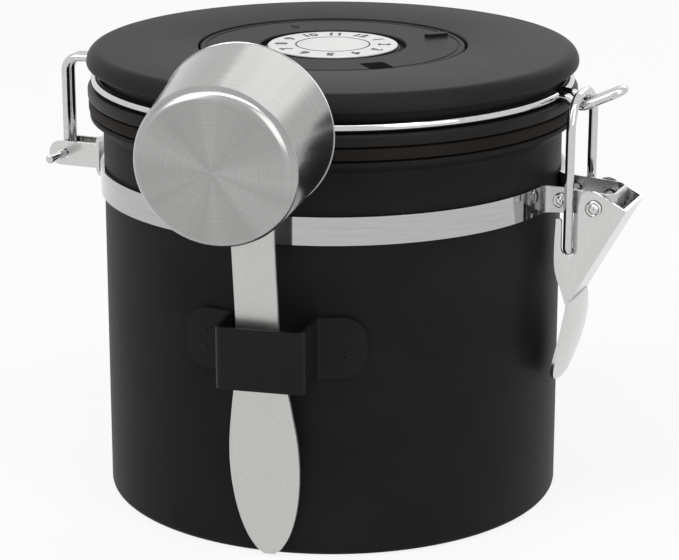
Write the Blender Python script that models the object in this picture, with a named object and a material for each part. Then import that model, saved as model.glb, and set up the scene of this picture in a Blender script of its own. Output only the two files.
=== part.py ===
"""Coffee canister with a bail lid, a lever latch, a date dial and a scoop in a clip.

The canister stands on z = 0 with its axis on Z. The latch is at +X, the lid's hinge at -X, and the
clip with the scoop at -Y. All lengths are in metres.
"""

import math

import bmesh
import bpy
from mathutils import Matrix, Vector

# General fits
GAP = 0.0003
RUNNING_GAP = 0.0004
CUT_OVERRUN = 0.001
MERGE_DISTANCE = 0.000001
MITRE_LIMIT = 0.5
TURN_STEPS = 48
MIDDLE_TURN_STEPS = 36
SMALL_TURN_STEPS = 20
BEND_STEPS = 4

# Steel body
BODY_RADIUS = 0.0625
BODY_WALL = 0.0009
BODY_FOOT_RADIUS = 0.0016
NECK_HEIGHT = 0.1028
FLARE_RISE = 0.0024
FLARE_REACH = 0.0035
LIP_HEIGHT = 0.0013
BASE_GROOVE_INSET = 0.0165
BASE_GROOVE_WIDTH = 0.0040
BASE_GROOVE_DEPTH = 0.0012

# Lid: gasket, lower shell and cover
LID_OVERHANG = 0.0042
LID_RISE = 0.0102
COVER_RIM_HEIGHT = 0.0047
COVER_ROUND = 0.0036
COVER_WALL = 0.0020
COVER_CORNER = 0.0005
COVER_FOOT_ROUND = 0.0010
GASKET_HEIGHT = 0.0033
GASKET_INSET = 0.0004
GASKET_WIDTH = 0.0057
GASKET_SOFT_EDGE = 0.0005
FLANGE_HEIGHT = 0.0031
FLANGE_INSET = 0.0002
FLANGE_ROUND = 0.0006
LID_NECK_INSET = 0.0040
LID_SHELL_WALL = 0.0020
SPIGOT_DEPTH = 0.0068

# Date dial in the cover
DIAL_RADIUS = 0.0359
DIAL_SIDE_GAP = 0.0006
DIAL_DEPTH = 0.0032
DIAL_TOP_SINK = 0.0003
DIAL_POCKET_RADIUS = 0.0199
DIAL_POCKET_DEPTH = 0.0014
DIAL_WINDOW_MARGIN = 0.0010
DIAL_WINDOW_LENGTH = 0.0084
DIAL_WINDOW_WIDTH = 0.0068
DIAL_WINDOW_ANGLE = math.radians(-46.0)
GRIP_MARGIN = 0.0018
GRIP_LENGTH = 0.0068
GRIP_WIDTH = 0.0024
GRIP_HEIGHT = 0.0009
DAY_RING_THICKNESS = 0.0004
DAY_RING_MARGIN = 0.0003
DAY_RING_SPARE = 0.0020
MONTH_HUB_INSET = 0.0014
MONTH_HUB_THICKNESS = 0.0005
MONTH_STEM_RADIUS = 0.0040
MONTH_PLATE_INSET = 0.0009
MONTH_PLATE_THICKNESS = 0.0004
RETAINER_RADIUS = 0.0075
RETAINER_THICKNESS = 0.0012
RETAINER_BARB = 0.0008

# One-way valve under the lid
VALVE_RADIUS = 0.0110
VALVE_WALL = 0.0014
VALVE_FLANGE = 0.0030
VALVE_DEPTH = 0.0046
VALVE_SEAT_THICKNESS = 0.0010
VALVE_HOLE_RADIUS = 0.0034
FLAP_RADIUS = 0.0082
FLAP_THICKNESS = 0.0007
FLAP_LIFT = 0.0009
VALVE_CAP_THICKNESS = 0.0010
VALVE_CAP_HOLE_RADIUS = 0.0030
FILTER_THICKNESS = 0.0006

# Wires
WIRE_RADIUS = 0.00125
WIRE_SIDES = 2
RING_INSET = 0.0024
RING_STEPS = 22
RING_BEND = 0.0022

# Neck band and its lug at the latch
BAND_DROP = 0.0146
BAND_HEIGHT = 0.0074
BAND_THICKNESS = 0.0008
BAND_STEPS = 30
LUG_HALF_WIDTH = 0.0072
LUG_BEND = 0.0025
LUG_END_REACH = 0.0052
LUG_END_BEND = 0.0030
LUG_END_HEIGHT = 0.0050
TIE_RIVET_OFFSET = 0.0094
TIE_RIVET_HEAD = 0.0020

# Hinge bracket and the bail's legs
HINGE_AXIS_REACH = 0.0143
HINGE_AXIS_DROP = 0.0014
HINGE_EAR_HEIGHT = 0.0070
HINGE_EAR_THICKNESS = 0.0010
HINGE_EAR_PLACE = 0.0037
HINGE_EAR_END = 0.0046
SADDLE_HEIGHT = 0.0120
SADDLE_REACH = 0.0064
SADDLE_THICKNESS = 0.0010
SADDLE_BEND = 0.0016
HINGE_LEG_PLACE = 0.0015
HINGE_LEG_DIP = 0.0008
HINGE_LEG_BEND = 0.0040
HINGE_PIN_BEND = 0.0015
HINGE_PIN_END = 0.0130

# Nose of the bail, which the latch link hooks over
NOSE_HALF_WIDTH = 0.0029
NOSE_SEAT_REACH = 0.0041
NOSE_SEAT_DROP = 0.0022
NOSE_SEAT_RUN = 0.0011
NOSE_SHOULDER_REACH = 0.0007
NOSE_SHOULDER_DROP = 0.0004
NOSE_TIP_REACH = 0.0107
NOSE_TIP_RISE = 0.0023
NOSE_BEND = 0.0014
NOSE_TIP_BEND = 0.0026

# Latch link and lever
FULCRUM_OFFSET = 0.0064
FULCRUM_DROP = 0.0011
PIVOT_RIVET_RADIUS = 0.0014
PIVOT_RIVET_HEAD = 0.0022
RIVET_HEAD_HEIGHT = 0.0009
LEVER_PLATE = 0.0009
LEVER_WEB_PLACE = 0.0076
LEVER_WEB_LEAN = math.radians(29.3)
LEVER_CREST = 0.0046
LEVER_CREST_SIDE = 0.0037
LEVER_CREST_RUN = 0.0015
LEVER_THROAT_HEIGHT = 0.0272
LEVER_HEEL = 0.0103
LEVER_HEEL_DROP = 0.0068
LEVER_ANKLE = 0.0016
LEVER_ANKLE_RISE = 0.0040
NOTCH_OFFSET = 0.0002
NOTCH_HALF_WIDTH = 0.00225
NOTCH_FLOOR_DROP = 0.0136
PRONG_DROP = 0.0036
PRONG_WIDTH = 0.0017
TAB_LENGTH = 0.0237
TAB_HALF_WIDTH = 0.0110
TAB_OVERLAP = 0.0012
TAB_TIP_GAP = 0.0032
TAB_DISH = 0.0012
LINK_HALF_WIDTH = 0.01035
LINK_BEND = 0.0080
LINK_STUB_BEND = 0.0016
LINK_STUB_END = 0.0083

# Scoop clip
CLIP_HEIGHT = 0.0163
CLIP_CENTRE_HEIGHT = 0.0575
CLIP_THICKNESS = 0.0010
CLIP_SIDE_GAP = 0.0019
CLIP_REACH = 0.0142
CLIP_BEND = 0.0016
CLIP_FOOT_BEND = 0.0014
CLIP_HALF_SPAN = math.radians(22.0)
CLIP_TURN = math.radians(7.9)
CLIP_TAB_STEPS = 4

# Scoop
SCOOP_TURN = math.radians(6.9)
SCOOP_LEAN = math.radians(8.0)
SCOOP_TIP_HEIGHT = 0.0006
SCOOP_TIP_GAP = 0.0005
HANDLE_THICKNESS = 0.0014
HANDLE_HALF_WIDTH = 0.0056
LEAF_HALF_WIDTH = 0.0093
LEAF_LENGTH = 0.0640
HANDLE_BEND = 0.0026
WELD_TAB_LENGTH = 0.0120
BOWL_MOUTH_RADIUS = 0.0222
BOWL_TAPER = 0.0020
BOWL_DEPTH = 0.0290
BOWL_WALL = 0.0008
BOWL_ROUND = 0.0042
BOWL_RISE = 0.0605

# Outline of the handle's leaf from its tip: share of the leaf's length, and share of its widest half width.
LEAF_RISE_SHARES = (
    (0.0, 0.15), (0.02, 0.36), (0.05, 0.54), (0.10, 0.73), (0.17, 0.86), (0.27, 0.95), (0.40, 1.0),
)
# The same from the leaf's widest place up: share of its length, and how much of its spare width is left.
LEAF_FALL_SHARES = ((0.54, 0.83), (0.65, 0.47), (0.76, 0.2), (0.88, 0.06), (1.0, 0.0))
# Outline of the lever's thumb tab from its neck: share of its length and of its half width.
TAB_WIDTH_SHARES = (
    (0.0, 0.79), (0.10, 0.85), (0.25, 0.96), (0.42, 1.0),
    (0.62, 0.92), (0.80, 0.71), (0.93, 0.40), (1.0, 0.14),
)
# Domed rivet head: share of the head's radius at its crown, and share of its height at its rim.
RIVET_CROWN_SHARE = 0.6
RIVET_RIM_SHARE = 0.4

# Values that follow from the sizes above
LID_RADIUS = BODY_RADIUS + LID_OVERHANG
BASE_GROOVE_RADIUS = BODY_RADIUS - BASE_GROOVE_INSET
FLARE_RADIUS = BODY_RADIUS + FLARE_REACH
FLARE_TOP = NECK_HEIGHT + FLARE_RISE
LIP_TOP = FLARE_TOP + LIP_HEIGHT
GASKET_BOTTOM = LIP_TOP + GAP
GASKET_TOP = GASKET_BOTTOM + GASKET_HEIGHT
FLANGE_BOTTOM = GASKET_TOP + GAP
FLANGE_TOP = FLANGE_BOTTOM + FLANGE_HEIGHT
LID_HEIGHT = FLANGE_TOP + LID_RISE
COVER_BOTTOM = LID_HEIGHT - COVER_RIM_HEIGHT
LID_NECK_RADIUS = LID_RADIUS - LID_NECK_INSET
SPIGOT_RADIUS = LID_RADIUS - GASKET_INSET - GASKET_WIDTH - GAP
SPIGOT_BOTTOM = FLANGE_BOTTOM - SPIGOT_DEPTH
LID_FLOOR_TOP = FLANGE_BOTTOM
LID_FLOOR_BOTTOM = LID_FLOOR_TOP - LID_SHELL_WALL
DIAL_FLOOR = LID_HEIGHT - DIAL_DEPTH
DIAL_WINDOW_OUTER = DIAL_RADIUS - DIAL_WINDOW_MARGIN
DIAL_WINDOW_INNER = DIAL_WINDOW_OUTER - DIAL_WINDOW_LENGTH
GRIP_OUTER = DIAL_RADIUS - GRIP_MARGIN
GRIP_INNER = GRIP_OUTER - GRIP_LENGTH
DAY_RING_OUTER = DIAL_RADIUS - DAY_RING_MARGIN
DAY_RING_INNER = DIAL_WINDOW_INNER - DAY_RING_SPARE
MONTH_HUB_RADIUS = DIAL_POCKET_RADIUS - MONTH_HUB_INSET
MONTH_PLATE_RADIUS = MONTH_HUB_RADIUS - MONTH_PLATE_INSET
DIAL_WELL_RADIUS = DIAL_RADIUS + DIAL_SIDE_GAP
DIAL_BOTTOM = DIAL_FLOOR + DAY_RING_THICKNESS + 2 * GAP
DIAL_TOP = LID_HEIGHT - DIAL_TOP_SINK
POCKET_FLOOR = DIAL_TOP - DIAL_POCKET_DEPTH
HUB_BOTTOM = POCKET_FLOOR + GAP
HUB_TOP = HUB_BOTTOM + MONTH_HUB_THICKNESS
PLATE_BOTTOM = HUB_TOP + GAP
STEM_HOLE_RADIUS = MONTH_STEM_RADIUS + RUNNING_GAP
WELL_UNDERSIDE = DIAL_FLOOR - COVER_WALL
RING_RADIUS = LID_RADIUS - RING_INSET
RING_HEIGHT = FLANGE_TOP + WIRE_RADIUS + GAP
NOSE_SHOULDER_PLACE = LID_RADIUS + NOSE_SHOULDER_REACH
NOSE_SEAT_PLACE = LID_RADIUS + NOSE_SEAT_REACH
NOSE_TIP_PLACE = NOSE_SEAT_PLACE + NOSE_TIP_REACH
NOSE_SEAT_HEIGHT = RING_HEIGHT - NOSE_SEAT_DROP
NOTCH_PLACE = NOSE_SEAT_PLACE - NOTCH_OFFSET
FULCRUM_PLACE = NOTCH_PLACE + FULCRUM_OFFSET
TIE_RIVET_PLACE = FULCRUM_PLACE - TIE_RIVET_OFFSET
TAB_TIP_PLACE = BODY_RADIUS + TAB_TIP_GAP
BAND_CENTRE_HEIGHT = NECK_HEIGHT - BAND_DROP
FULCRUM_HEIGHT = BAND_CENTRE_HEIGHT - FULCRUM_DROP
HINGE_AXIS_PLACE = -(LID_RADIUS + HINGE_AXIS_REACH)
HINGE_AXIS_HEIGHT = BAND_CENTRE_HEIGHT - HINGE_AXIS_DROP
BAND_INNER = BODY_RADIUS + GAP
BAND_MIDDLE = BAND_INNER + BAND_THICKNESS / 2
LUG_OUTER = LUG_HALF_WIDTH + BAND_THICKNESS / 2
LEVER_INNER = LUG_OUTER + RUNNING_GAP
LEVER_OUTER = LEVER_INNER + LEVER_PLATE
NOTCH_FLOOR = FULCRUM_HEIGHT - NOTCH_FLOOR_DROP
LINK_STUB_HEIGHT = NOTCH_FLOOR + GAP + WIRE_RADIUS
LINK_TOP_HEIGHT = NOSE_SEAT_HEIGHT + 2 * WIRE_RADIUS + GAP
CLIP_MIDDLE = BODY_RADIUS + GAP + CLIP_THICKNESS / 2
CLIP_HALF_WIDTH = LEAF_HALF_WIDTH + CLIP_SIDE_GAP
BOWL_BASE_RADIUS = BOWL_MOUTH_RADIUS - BOWL_TAPER
BOWL_CENTRE_HEIGHT = CLIP_CENTRE_HEIGHT + BOWL_RISE
HANDLE_TIP_PLACE = -(BODY_RADIUS + SCOOP_TIP_GAP + HANDLE_THICKNESS / 2)


def clear_objects():
    for thing in list(bpy.data.objects):
        bpy.data.objects.remove(thing, do_unlink=True)


def make_material(name, colour, roughness, metallic):
    material = bpy.data.materials.new(name)
    material.use_nodes = True
    shader = material.node_tree.nodes["Principled BSDF"]
    shader.inputs["Base Color"].default_value = (*colour, 1.0)
    shader.inputs["Roughness"].default_value = roughness
    shader.inputs["Metallic"].default_value = metallic
    return material


def add_object(name, data, material):
    thing = bpy.data.objects.new(name, data)
    bpy.context.scene.collection.objects.link(thing)
    if material:
        data.materials.append(material)
    return thing


def add_axis(name, place, rotation=(0.0, 0.0, 0.0), parent=None):
    """An empty on a joint's axis. Pieces that turn or slide there are its children."""
    axis = bpy.data.objects.new(name, None)
    bpy.context.scene.collection.objects.link(axis)
    axis.location = place
    axis.rotation_euler = rotation
    axis.parent = parent
    if parent:
        bpy.context.view_layer.update()
        axis.matrix_parent_inverse = parent.matrix_world.inverted()
    return axis


def keep_place(thing, axis):
    """Parents a piece to an axis and leaves it where it was modelled."""
    bpy.context.view_layer.update()
    thing.parent = axis
    thing.matrix_parent_inverse = axis.matrix_world.inverted()
    return thing


def mesh_from(name, bm, smooth_angle=35.0):
    bmesh.ops.remove_doubles(bm, verts=bm.verts, dist=MERGE_DISTANCE)
    bmesh.ops.recalc_face_normals(bm, faces=bm.faces)
    mesh = bpy.data.meshes.new(name)
    bm.to_mesh(mesh)
    bm.free()
    mesh.shade_smooth()
    mesh.set_sharp_from_angle(angle=math.radians(smooth_angle))
    return mesh


def arc(centre, radius, start, end, steps=BEND_STEPS):
    """Points of an arc in a plane, with its angles in degrees."""
    points = []
    for index in range(steps + 1):
        angle = math.radians(start + (end - start) * index / steps)
        points.append((centre[0] + radius * math.cos(angle), centre[1] + radius * math.sin(angle)))
    return points


def turned_mesh(name, profile, steps=TURN_STEPS):
    """Turns a closed outline of (radius, height) points round Z."""
    bm = bmesh.new()
    verts = [bm.verts.new((radius, 0.0, height)) for radius, height in profile]
    edges = [bm.edges.new((verts[i - 1], verts[i])) for i in range(len(verts))]
    edges = [e for e in edges if any(v.co.x > MERGE_DISTANCE for v in e.verts)]
    bmesh.ops.spin(
        bm, geom=verts + edges, cent=(0, 0, 0), axis=(0, 0, 1), angle=math.tau, steps=steps, use_merge=True
    )
    loose = [e for e in bm.edges if not e.link_faces]
    bmesh.ops.delete(bm, geom=loose, context="EDGES")
    return mesh_from(name, bm)


def turned(name, profile, material, steps=TURN_STEPS):
    return add_object(name, turned_mesh(name, profile, steps), material)


def prism_mesh(name, outline, low, high, axis="Y"):
    """Extrudes a closed outline. Along Y it is of (x, z) points, and along Z of (x, y) points."""
    bm = bmesh.new()
    if axis == "Y":
        verts = [bm.verts.new((a, low, b)) for a, b in outline]
        step = Vector((0.0, high - low, 0.0))
    else:
        verts = [bm.verts.new((a, b, low)) for a, b in outline]
        step = Vector((0.0, 0.0, high - low))
    face = bm.faces.new(verts)
    grown = bmesh.ops.extrude_face_region(bm, geom=[face])
    moved = [item for item in grown["geom"] if isinstance(item, bmesh.types.BMVert)]
    bmesh.ops.translate(bm, verts=moved, vec=step)
    return mesh_from(name, bm)


def cross_cylinder_mesh(name, radius, half_length, place_x, place_z, steps=SMALL_TURN_STEPS):
    """A plain cylinder along Y."""
    outline = arc((place_x, place_z), radius, 0.0, 360.0, steps)[:-1]
    return prism_mesh(name, outline, -half_length, half_length)


def cut(target, mesh, operation="DIFFERENCE"):
    """Adds a Boolean with its own cutter, which stays a wire guide."""
    cutter = add_object(mesh.name, mesh, None)
    cutter.hide_render = True
    cutter.display_type = "WIRE"
    change = target.modifiers.new(mesh.name, "BOOLEAN")
    change.operation = operation
    change.solver = "EXACT"
    change.object = cutter
    return cutter


def bent_path(corners, radii, steps=BEND_STEPS):
    """A run of straight stretches with a round bend at each inner corner."""
    points = [Vector(corners[0])]
    for index in range(1, len(corners) - 1):
        corner = Vector(corners[index])
        radius = radii[index - 1]
        inward = (corner - Vector(corners[index - 1])).normalized()
        outward = (Vector(corners[index + 1]) - corner).normalized()
        turn = inward.angle(outward)
        if radius <= 0.0 or turn < math.radians(1.0):
            points.append(corner)
            continue
        start = corner - inward * radius * math.tan(turn / 2)
        centre = corner + (outward - inward).normalized() * radius / math.cos(turn / 2)
        for step in range(steps + 1):
            angle = turn * step / steps
            points.append(centre + (start - centre) * math.cos(angle) + inward * radius * math.sin(angle))
    points.append(Vector(corners[-1]))
    return points


def wire(name, points, material, radius=WIRE_RADIUS):
    curve = bpy.data.curves.new(name, "CURVE")
    curve.dimensions = "3D"
    curve.bevel_depth = radius
    curve.bevel_resolution = WIRE_SIDES
    curve.use_fill_caps = True
    spline = curve.splines.new("POLY")
    spline.points.add(len(points) - 1)
    for target, point in zip(spline.points, points):
        target.co = (*point, 1.0)
    return add_object(name, curve, material)


def strip_mesh(name, path, widths, thickness, across, closed=False, dish=0.0):
    """A strip of sheet along a path. Its width lies along the vector across.

    widths holds the half width at each point. A dish bows the strip's middle out of its plane.
    """
    bm = bmesh.new()
    across = Vector(across).normalized()
    shares = (-1.0, 0.0, 1.0) if dish else (-1.0, 1.0)
    rings = []
    count = len(path)
    for index, point in enumerate(path):
        before = path[index - 1] if closed or index else path[0]
        after = path[(index + 1) % count] if closed or index < count - 1 else path[-1]
        into = (Vector(point) - Vector(before)).normalized()
        out = (Vector(after) - Vector(point)).normalized()
        along = (into + out).normalized()
        normal = along.cross(across).normalized()
        spread = 1.0 / max(along.dot(out if out.length else into), MITRE_LIMIT)
        near, far = [], []
        for share in shares:
            bow = normal * dish * (1.0 - share * share)
            middle = Vector(point) + across * share * widths[index] + bow
            near.append(bm.verts.new(middle - normal * thickness / 2 * spread))
            far.append(bm.verts.new(middle + normal * thickness / 2 * spread))
        rings.append(near + far[::-1])
    pairs = list(zip(rings, rings[1:]))
    if closed:
        pairs.append((rings[-1], rings[0]))
    for one, two in pairs:
        for side in range(len(one)):
            bm.faces.new((one[side - 1], one[side], two[side], two[side - 1]))
    if not closed:
        bm.faces.new(rings[0])
        bm.faces.new(rings[-1][::-1])
    return mesh_from(name, bm)


def rivet_profile(shaft, head, head_height, span):
    """Half outline of a rivet with a domed head at each end, along its own axis."""
    crown = head * RIVET_CROWN_SHARE
    rim = span + head_height * RIVET_RIM_SHARE
    top = span + head_height
    profile = [(0.0, -top), (crown, -top), (head, -rim), (head, -span), (shaft, -span)]
    profile += [(shaft, span), (head, span), (head, rim), (crown, top), (0.0, top)]
    return profile


def lay_across(thing, place_x, place_z):
    """Turns a piece made along Z so that it lies along Y at a place."""
    thing.data.transform(Matrix.Rotation(math.radians(90.0), 4, "X"))
    thing.location = (place_x, 0.0, place_z)
    return thing


def canister_body(material):
    wall = BODY_WALL
    inner = BODY_RADIUS - wall
    foot = BODY_FOOT_RADIUS
    groove_in = BASE_GROOVE_RADIUS - BASE_GROOVE_WIDTH / 2
    groove_out = BASE_GROOVE_RADIUS + BASE_GROOVE_WIDTH / 2
    profile = [(0.0, 0.0), (groove_in, 0.0)]
    profile += [(groove_in + BASE_GROOVE_DEPTH, BASE_GROOVE_DEPTH)]
    profile += [(groove_out - BASE_GROOVE_DEPTH, BASE_GROOVE_DEPTH), (groove_out, 0.0)]
    profile += arc((BODY_RADIUS - foot, foot), foot, -90.0, 0.0)
    profile += [(BODY_RADIUS, NECK_HEIGHT), (FLARE_RADIUS, FLARE_TOP), (FLARE_RADIUS, LIP_TOP)]
    profile += [(FLARE_RADIUS - wall, LIP_TOP), (FLARE_RADIUS - wall, FLARE_TOP + wall / 2)]
    profile += [(inner, NECK_HEIGHT + wall / 2)]
    profile += arc((BODY_RADIUS - foot, foot), foot - wall, 0.0, -90.0)
    profile += [(groove_out, wall), (groove_out - BASE_GROOVE_DEPTH, wall + BASE_GROOVE_DEPTH)]
    profile += [(groove_in + BASE_GROOVE_DEPTH, wall + BASE_GROOVE_DEPTH), (groove_in, wall), (0.0, wall)]
    return turned("canister_body", profile, material)


def lid_gasket(material):
    outer = LID_RADIUS - GASKET_INSET
    inner = outer - GASKET_WIDTH
    edge = GASKET_SOFT_EDGE
    profile = [(inner, GASKET_BOTTOM), (outer - edge, GASKET_BOTTOM), (outer, GASKET_BOTTOM + edge)]
    profile += [(outer, GASKET_TOP - edge), (outer - edge, GASKET_TOP), (inner, GASKET_TOP)]
    return turned("lid_gasket", profile, material)


def lid_lower_shell(material):
    """Spigot, floor, flange under the bail's groove, and the neck that carries the cover."""
    wall = LID_SHELL_WALL
    flange = LID_RADIUS - FLANGE_INSET
    edge = FLANGE_ROUND
    hole = VALVE_RADIUS + GAP
    neck_top = LID_HEIGHT - COVER_WALL - GAP
    profile = [(hole, LID_FLOOR_BOTTOM), (SPIGOT_RADIUS - wall, LID_FLOOR_BOTTOM)]
    profile += [(SPIGOT_RADIUS - wall, SPIGOT_BOTTOM), (SPIGOT_RADIUS, SPIGOT_BOTTOM)]
    profile += [(SPIGOT_RADIUS, FLANGE_BOTTOM), (flange - edge, FLANGE_BOTTOM), (flange, FLANGE_BOTTOM + edge)]
    profile += [(flange, FLANGE_TOP - edge), (flange - edge, FLANGE_TOP), (LID_NECK_RADIUS, FLANGE_TOP)]
    profile += [(LID_NECK_RADIUS, neck_top), (LID_NECK_RADIUS - wall, neck_top)]
    profile += [(LID_NECK_RADIUS - wall, LID_FLOOR_TOP + edge), (LID_NECK_RADIUS - wall - edge, LID_FLOOR_TOP)]
    profile += [(hole, LID_FLOOR_TOP)]
    return turned("lid_lower_shell", profile, material)


def lid_cover(material):
    """Round-edged cover with the sunk well that the date dial turns in."""
    wall = COVER_WALL
    well = DIAL_WELL_RADIUS
    seat = LID_NECK_RADIUS + GAP
    profile = [(STEM_HOLE_RADIUS, DIAL_FLOOR), (well, DIAL_FLOOR), (well, LID_HEIGHT - COVER_CORNER)]
    profile += [(well + COVER_CORNER, LID_HEIGHT)]
    profile += arc((LID_RADIUS - COVER_ROUND, LID_HEIGHT - COVER_ROUND), COVER_ROUND, 90.0, 0.0, BEND_STEPS)
    foot = (LID_RADIUS - COVER_FOOT_ROUND, COVER_BOTTOM + COVER_FOOT_ROUND)
    profile += arc(foot, COVER_FOOT_ROUND, 0.0, -90.0, 2)
    profile += [(seat, COVER_BOTTOM), (seat, LID_HEIGHT - wall), (well + wall, LID_HEIGHT - wall)]
    profile += [(well + wall, WELL_UNDERSIDE), (STEM_HOLE_RADIUS, WELL_UNDERSIDE)]
    return turned("lid_cover", profile, material)


def day_ring(material):
    low = DIAL_FLOOR + GAP
    high = low + DAY_RING_THICKNESS
    profile = [(DAY_RING_INNER, low), (DAY_RING_OUTER, low), (DAY_RING_OUTER, high), (DAY_RING_INNER, high)]
    return turned("day_ring", profile, material, MIDDLE_TURN_STEPS)


def radial_outline(angle, inner, outer, width, round_ends):
    """A slot or bar that points outwards from the axis, as (x, y) points."""
    half = width / 2
    if round_ends:
        points = arc((outer - half, 0.0), half, -90.0, 90.0) + arc((inner + half, 0.0), half, 90.0, 270.0)
    else:
        points = [(inner, -half), (outer, -half), (outer, half), (inner, half)]
    turn = Matrix.Rotation(angle, 2)
    return [tuple(turn @ Vector(point)) for point in points]


def dial_disc(material):
    """Turning disc with its pocket, its window on the day ring and its two grips."""
    pocket = DIAL_POCKET_RADIUS
    profile = [(STEM_HOLE_RADIUS, DIAL_BOTTOM), (DIAL_RADIUS, DIAL_BOTTOM), (DIAL_RADIUS, DIAL_TOP)]
    profile += [(pocket, DIAL_TOP), (pocket, POCKET_FLOOR), (STEM_HOLE_RADIUS, POCKET_FLOOR)]
    disc = turned("dial_disc", profile, material)
    window = radial_outline(DIAL_WINDOW_ANGLE, DIAL_WINDOW_INNER, DIAL_WINDOW_OUTER, DIAL_WINDOW_WIDTH, False)
    low = DIAL_BOTTOM - CUT_OVERRUN
    cut(disc, prism_mesh("dial_window_cut", window, low, DIAL_TOP + CUT_OVERRUN, "Z"))
    for name, turn in (("grip_a", 90.0), ("grip_b", 270.0)):
        angle = DIAL_WINDOW_ANGLE + math.radians(turn)
        outline = radial_outline(angle, GRIP_INNER, GRIP_OUTER, GRIP_WIDTH, True)
        grip = prism_mesh("dial_" + name, outline, POCKET_FLOOR, DIAL_TOP + GRIP_HEIGHT, "Z")
        cut(disc, grip, "UNION")
    return disc


def month_hub(material):
    """Thin hub with the stem that holds both dial pieces in the cover."""
    stem_end = WELL_UNDERSIDE - RETAINER_THICKNESS - 2 * GAP
    profile = [(0.0, stem_end), (MONTH_STEM_RADIUS, stem_end), (MONTH_STEM_RADIUS, HUB_BOTTOM)]
    profile += [(MONTH_HUB_RADIUS, HUB_BOTTOM), (MONTH_HUB_RADIUS, HUB_TOP), (0.0, HUB_TOP)]
    return turned("month_hub", profile, material, MIDDLE_TURN_STEPS)


def month_plate(material):
    high = PLATE_BOTTOM + MONTH_PLATE_THICKNESS
    profile = [(0.0, PLATE_BOTTOM), (MONTH_PLATE_RADIUS, PLATE_BOTTOM), (MONTH_PLATE_RADIUS, high), (0.0, high)]
    return turned("month_plate", profile, material, MIDDLE_TURN_STEPS)


def dial_retainer(material):
    """Push-on washer under the cover that keeps the stem in its hole."""
    high = WELL_UNDERSIDE - GAP
    low = high - RETAINER_THICKNESS
    inner = MONTH_STEM_RADIUS + GAP
    profile = [(inner, low), (RETAINER_RADIUS, low), (RETAINER_RADIUS, high - RETAINER_BARB / 2)]
    profile += [(RETAINER_RADIUS - RETAINER_BARB, high), (inner, high)]
    return turned("dial_retainer", profile, material, SMALL_TURN_STEPS)


def valve_housing(material):
    """Cup in the lid's floor: a flange above, a seat with one hole, and a skirt that holds the filter."""
    flange_low = LID_FLOOR_TOP + GAP
    flange_high = flange_low + VALVE_SEAT_THICKNESS
    skirt_low = flange_high - VALVE_DEPTH
    seat_low = flange_low - VALVE_SEAT_THICKNESS
    inner = VALVE_RADIUS - VALVE_WALL
    profile = [(VALVE_HOLE_RADIUS, seat_low), (inner, seat_low), (inner, skirt_low), (VALVE_RADIUS, skirt_low)]
    profile += [(VALVE_RADIUS, flange_low), (VALVE_RADIUS + VALVE_FLANGE, flange_low)]
    profile += [(VALVE_RADIUS + VALVE_FLANGE, flange_high), (inner, flange_high)]
    profile += [(inner, seat_low + VALVE_SEAT_THICKNESS), (VALVE_HOLE_RADIUS, seat_low + VALVE_SEAT_THICKNESS)]
    return turned("valve_housing", profile, material, SMALL_TURN_STEPS)


def valve_flap(material):
    low = LID_FLOOR_TOP + 2 * GAP
    high = low + FLAP_THICKNESS
    profile = [(0.0, low), (FLAP_RADIUS, low), (FLAP_RADIUS, high), (0.0, high)]
    return turned("valve_flap", profile, material, SMALL_TURN_STEPS)


def valve_cap(material):
    """Snap cap over the flap. Its rim stands on the housing's flange and leaves the flap room to lift."""
    rim_low = LID_FLOOR_TOP + 2 * GAP + VALVE_SEAT_THICKNESS
    plate_low = LID_FLOOR_TOP + 2 * GAP + FLAP_THICKNESS + FLAP_LIFT + GAP
    plate_high = plate_low + VALVE_CAP_THICKNESS
    outer = VALVE_RADIUS + VALVE_FLANGE / 2
    inner = outer - VALVE_WALL
    profile = [(VALVE_CAP_HOLE_RADIUS, plate_low), (inner, plate_low), (inner, rim_low), (outer, rim_low)]
    profile += [(outer, plate_high), (VALVE_CAP_HOLE_RADIUS, plate_high)]
    return turned("valve_cap", profile, material, SMALL_TURN_STEPS)


def valve_filter(material):
    """Mesh disc that keeps grounds out of the valve, below its seat."""
    high = LID_FLOOR_TOP - VALVE_SEAT_THICKNESS
    low = high - FILTER_THICKNESS
    radius = VALVE_RADIUS - VALVE_WALL - GAP
    profile = [(0.0, low), (radius, low), (radius, high), (0.0, high)]
    return turned("valve_filter", profile, material, SMALL_TURN_STEPS)


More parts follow.
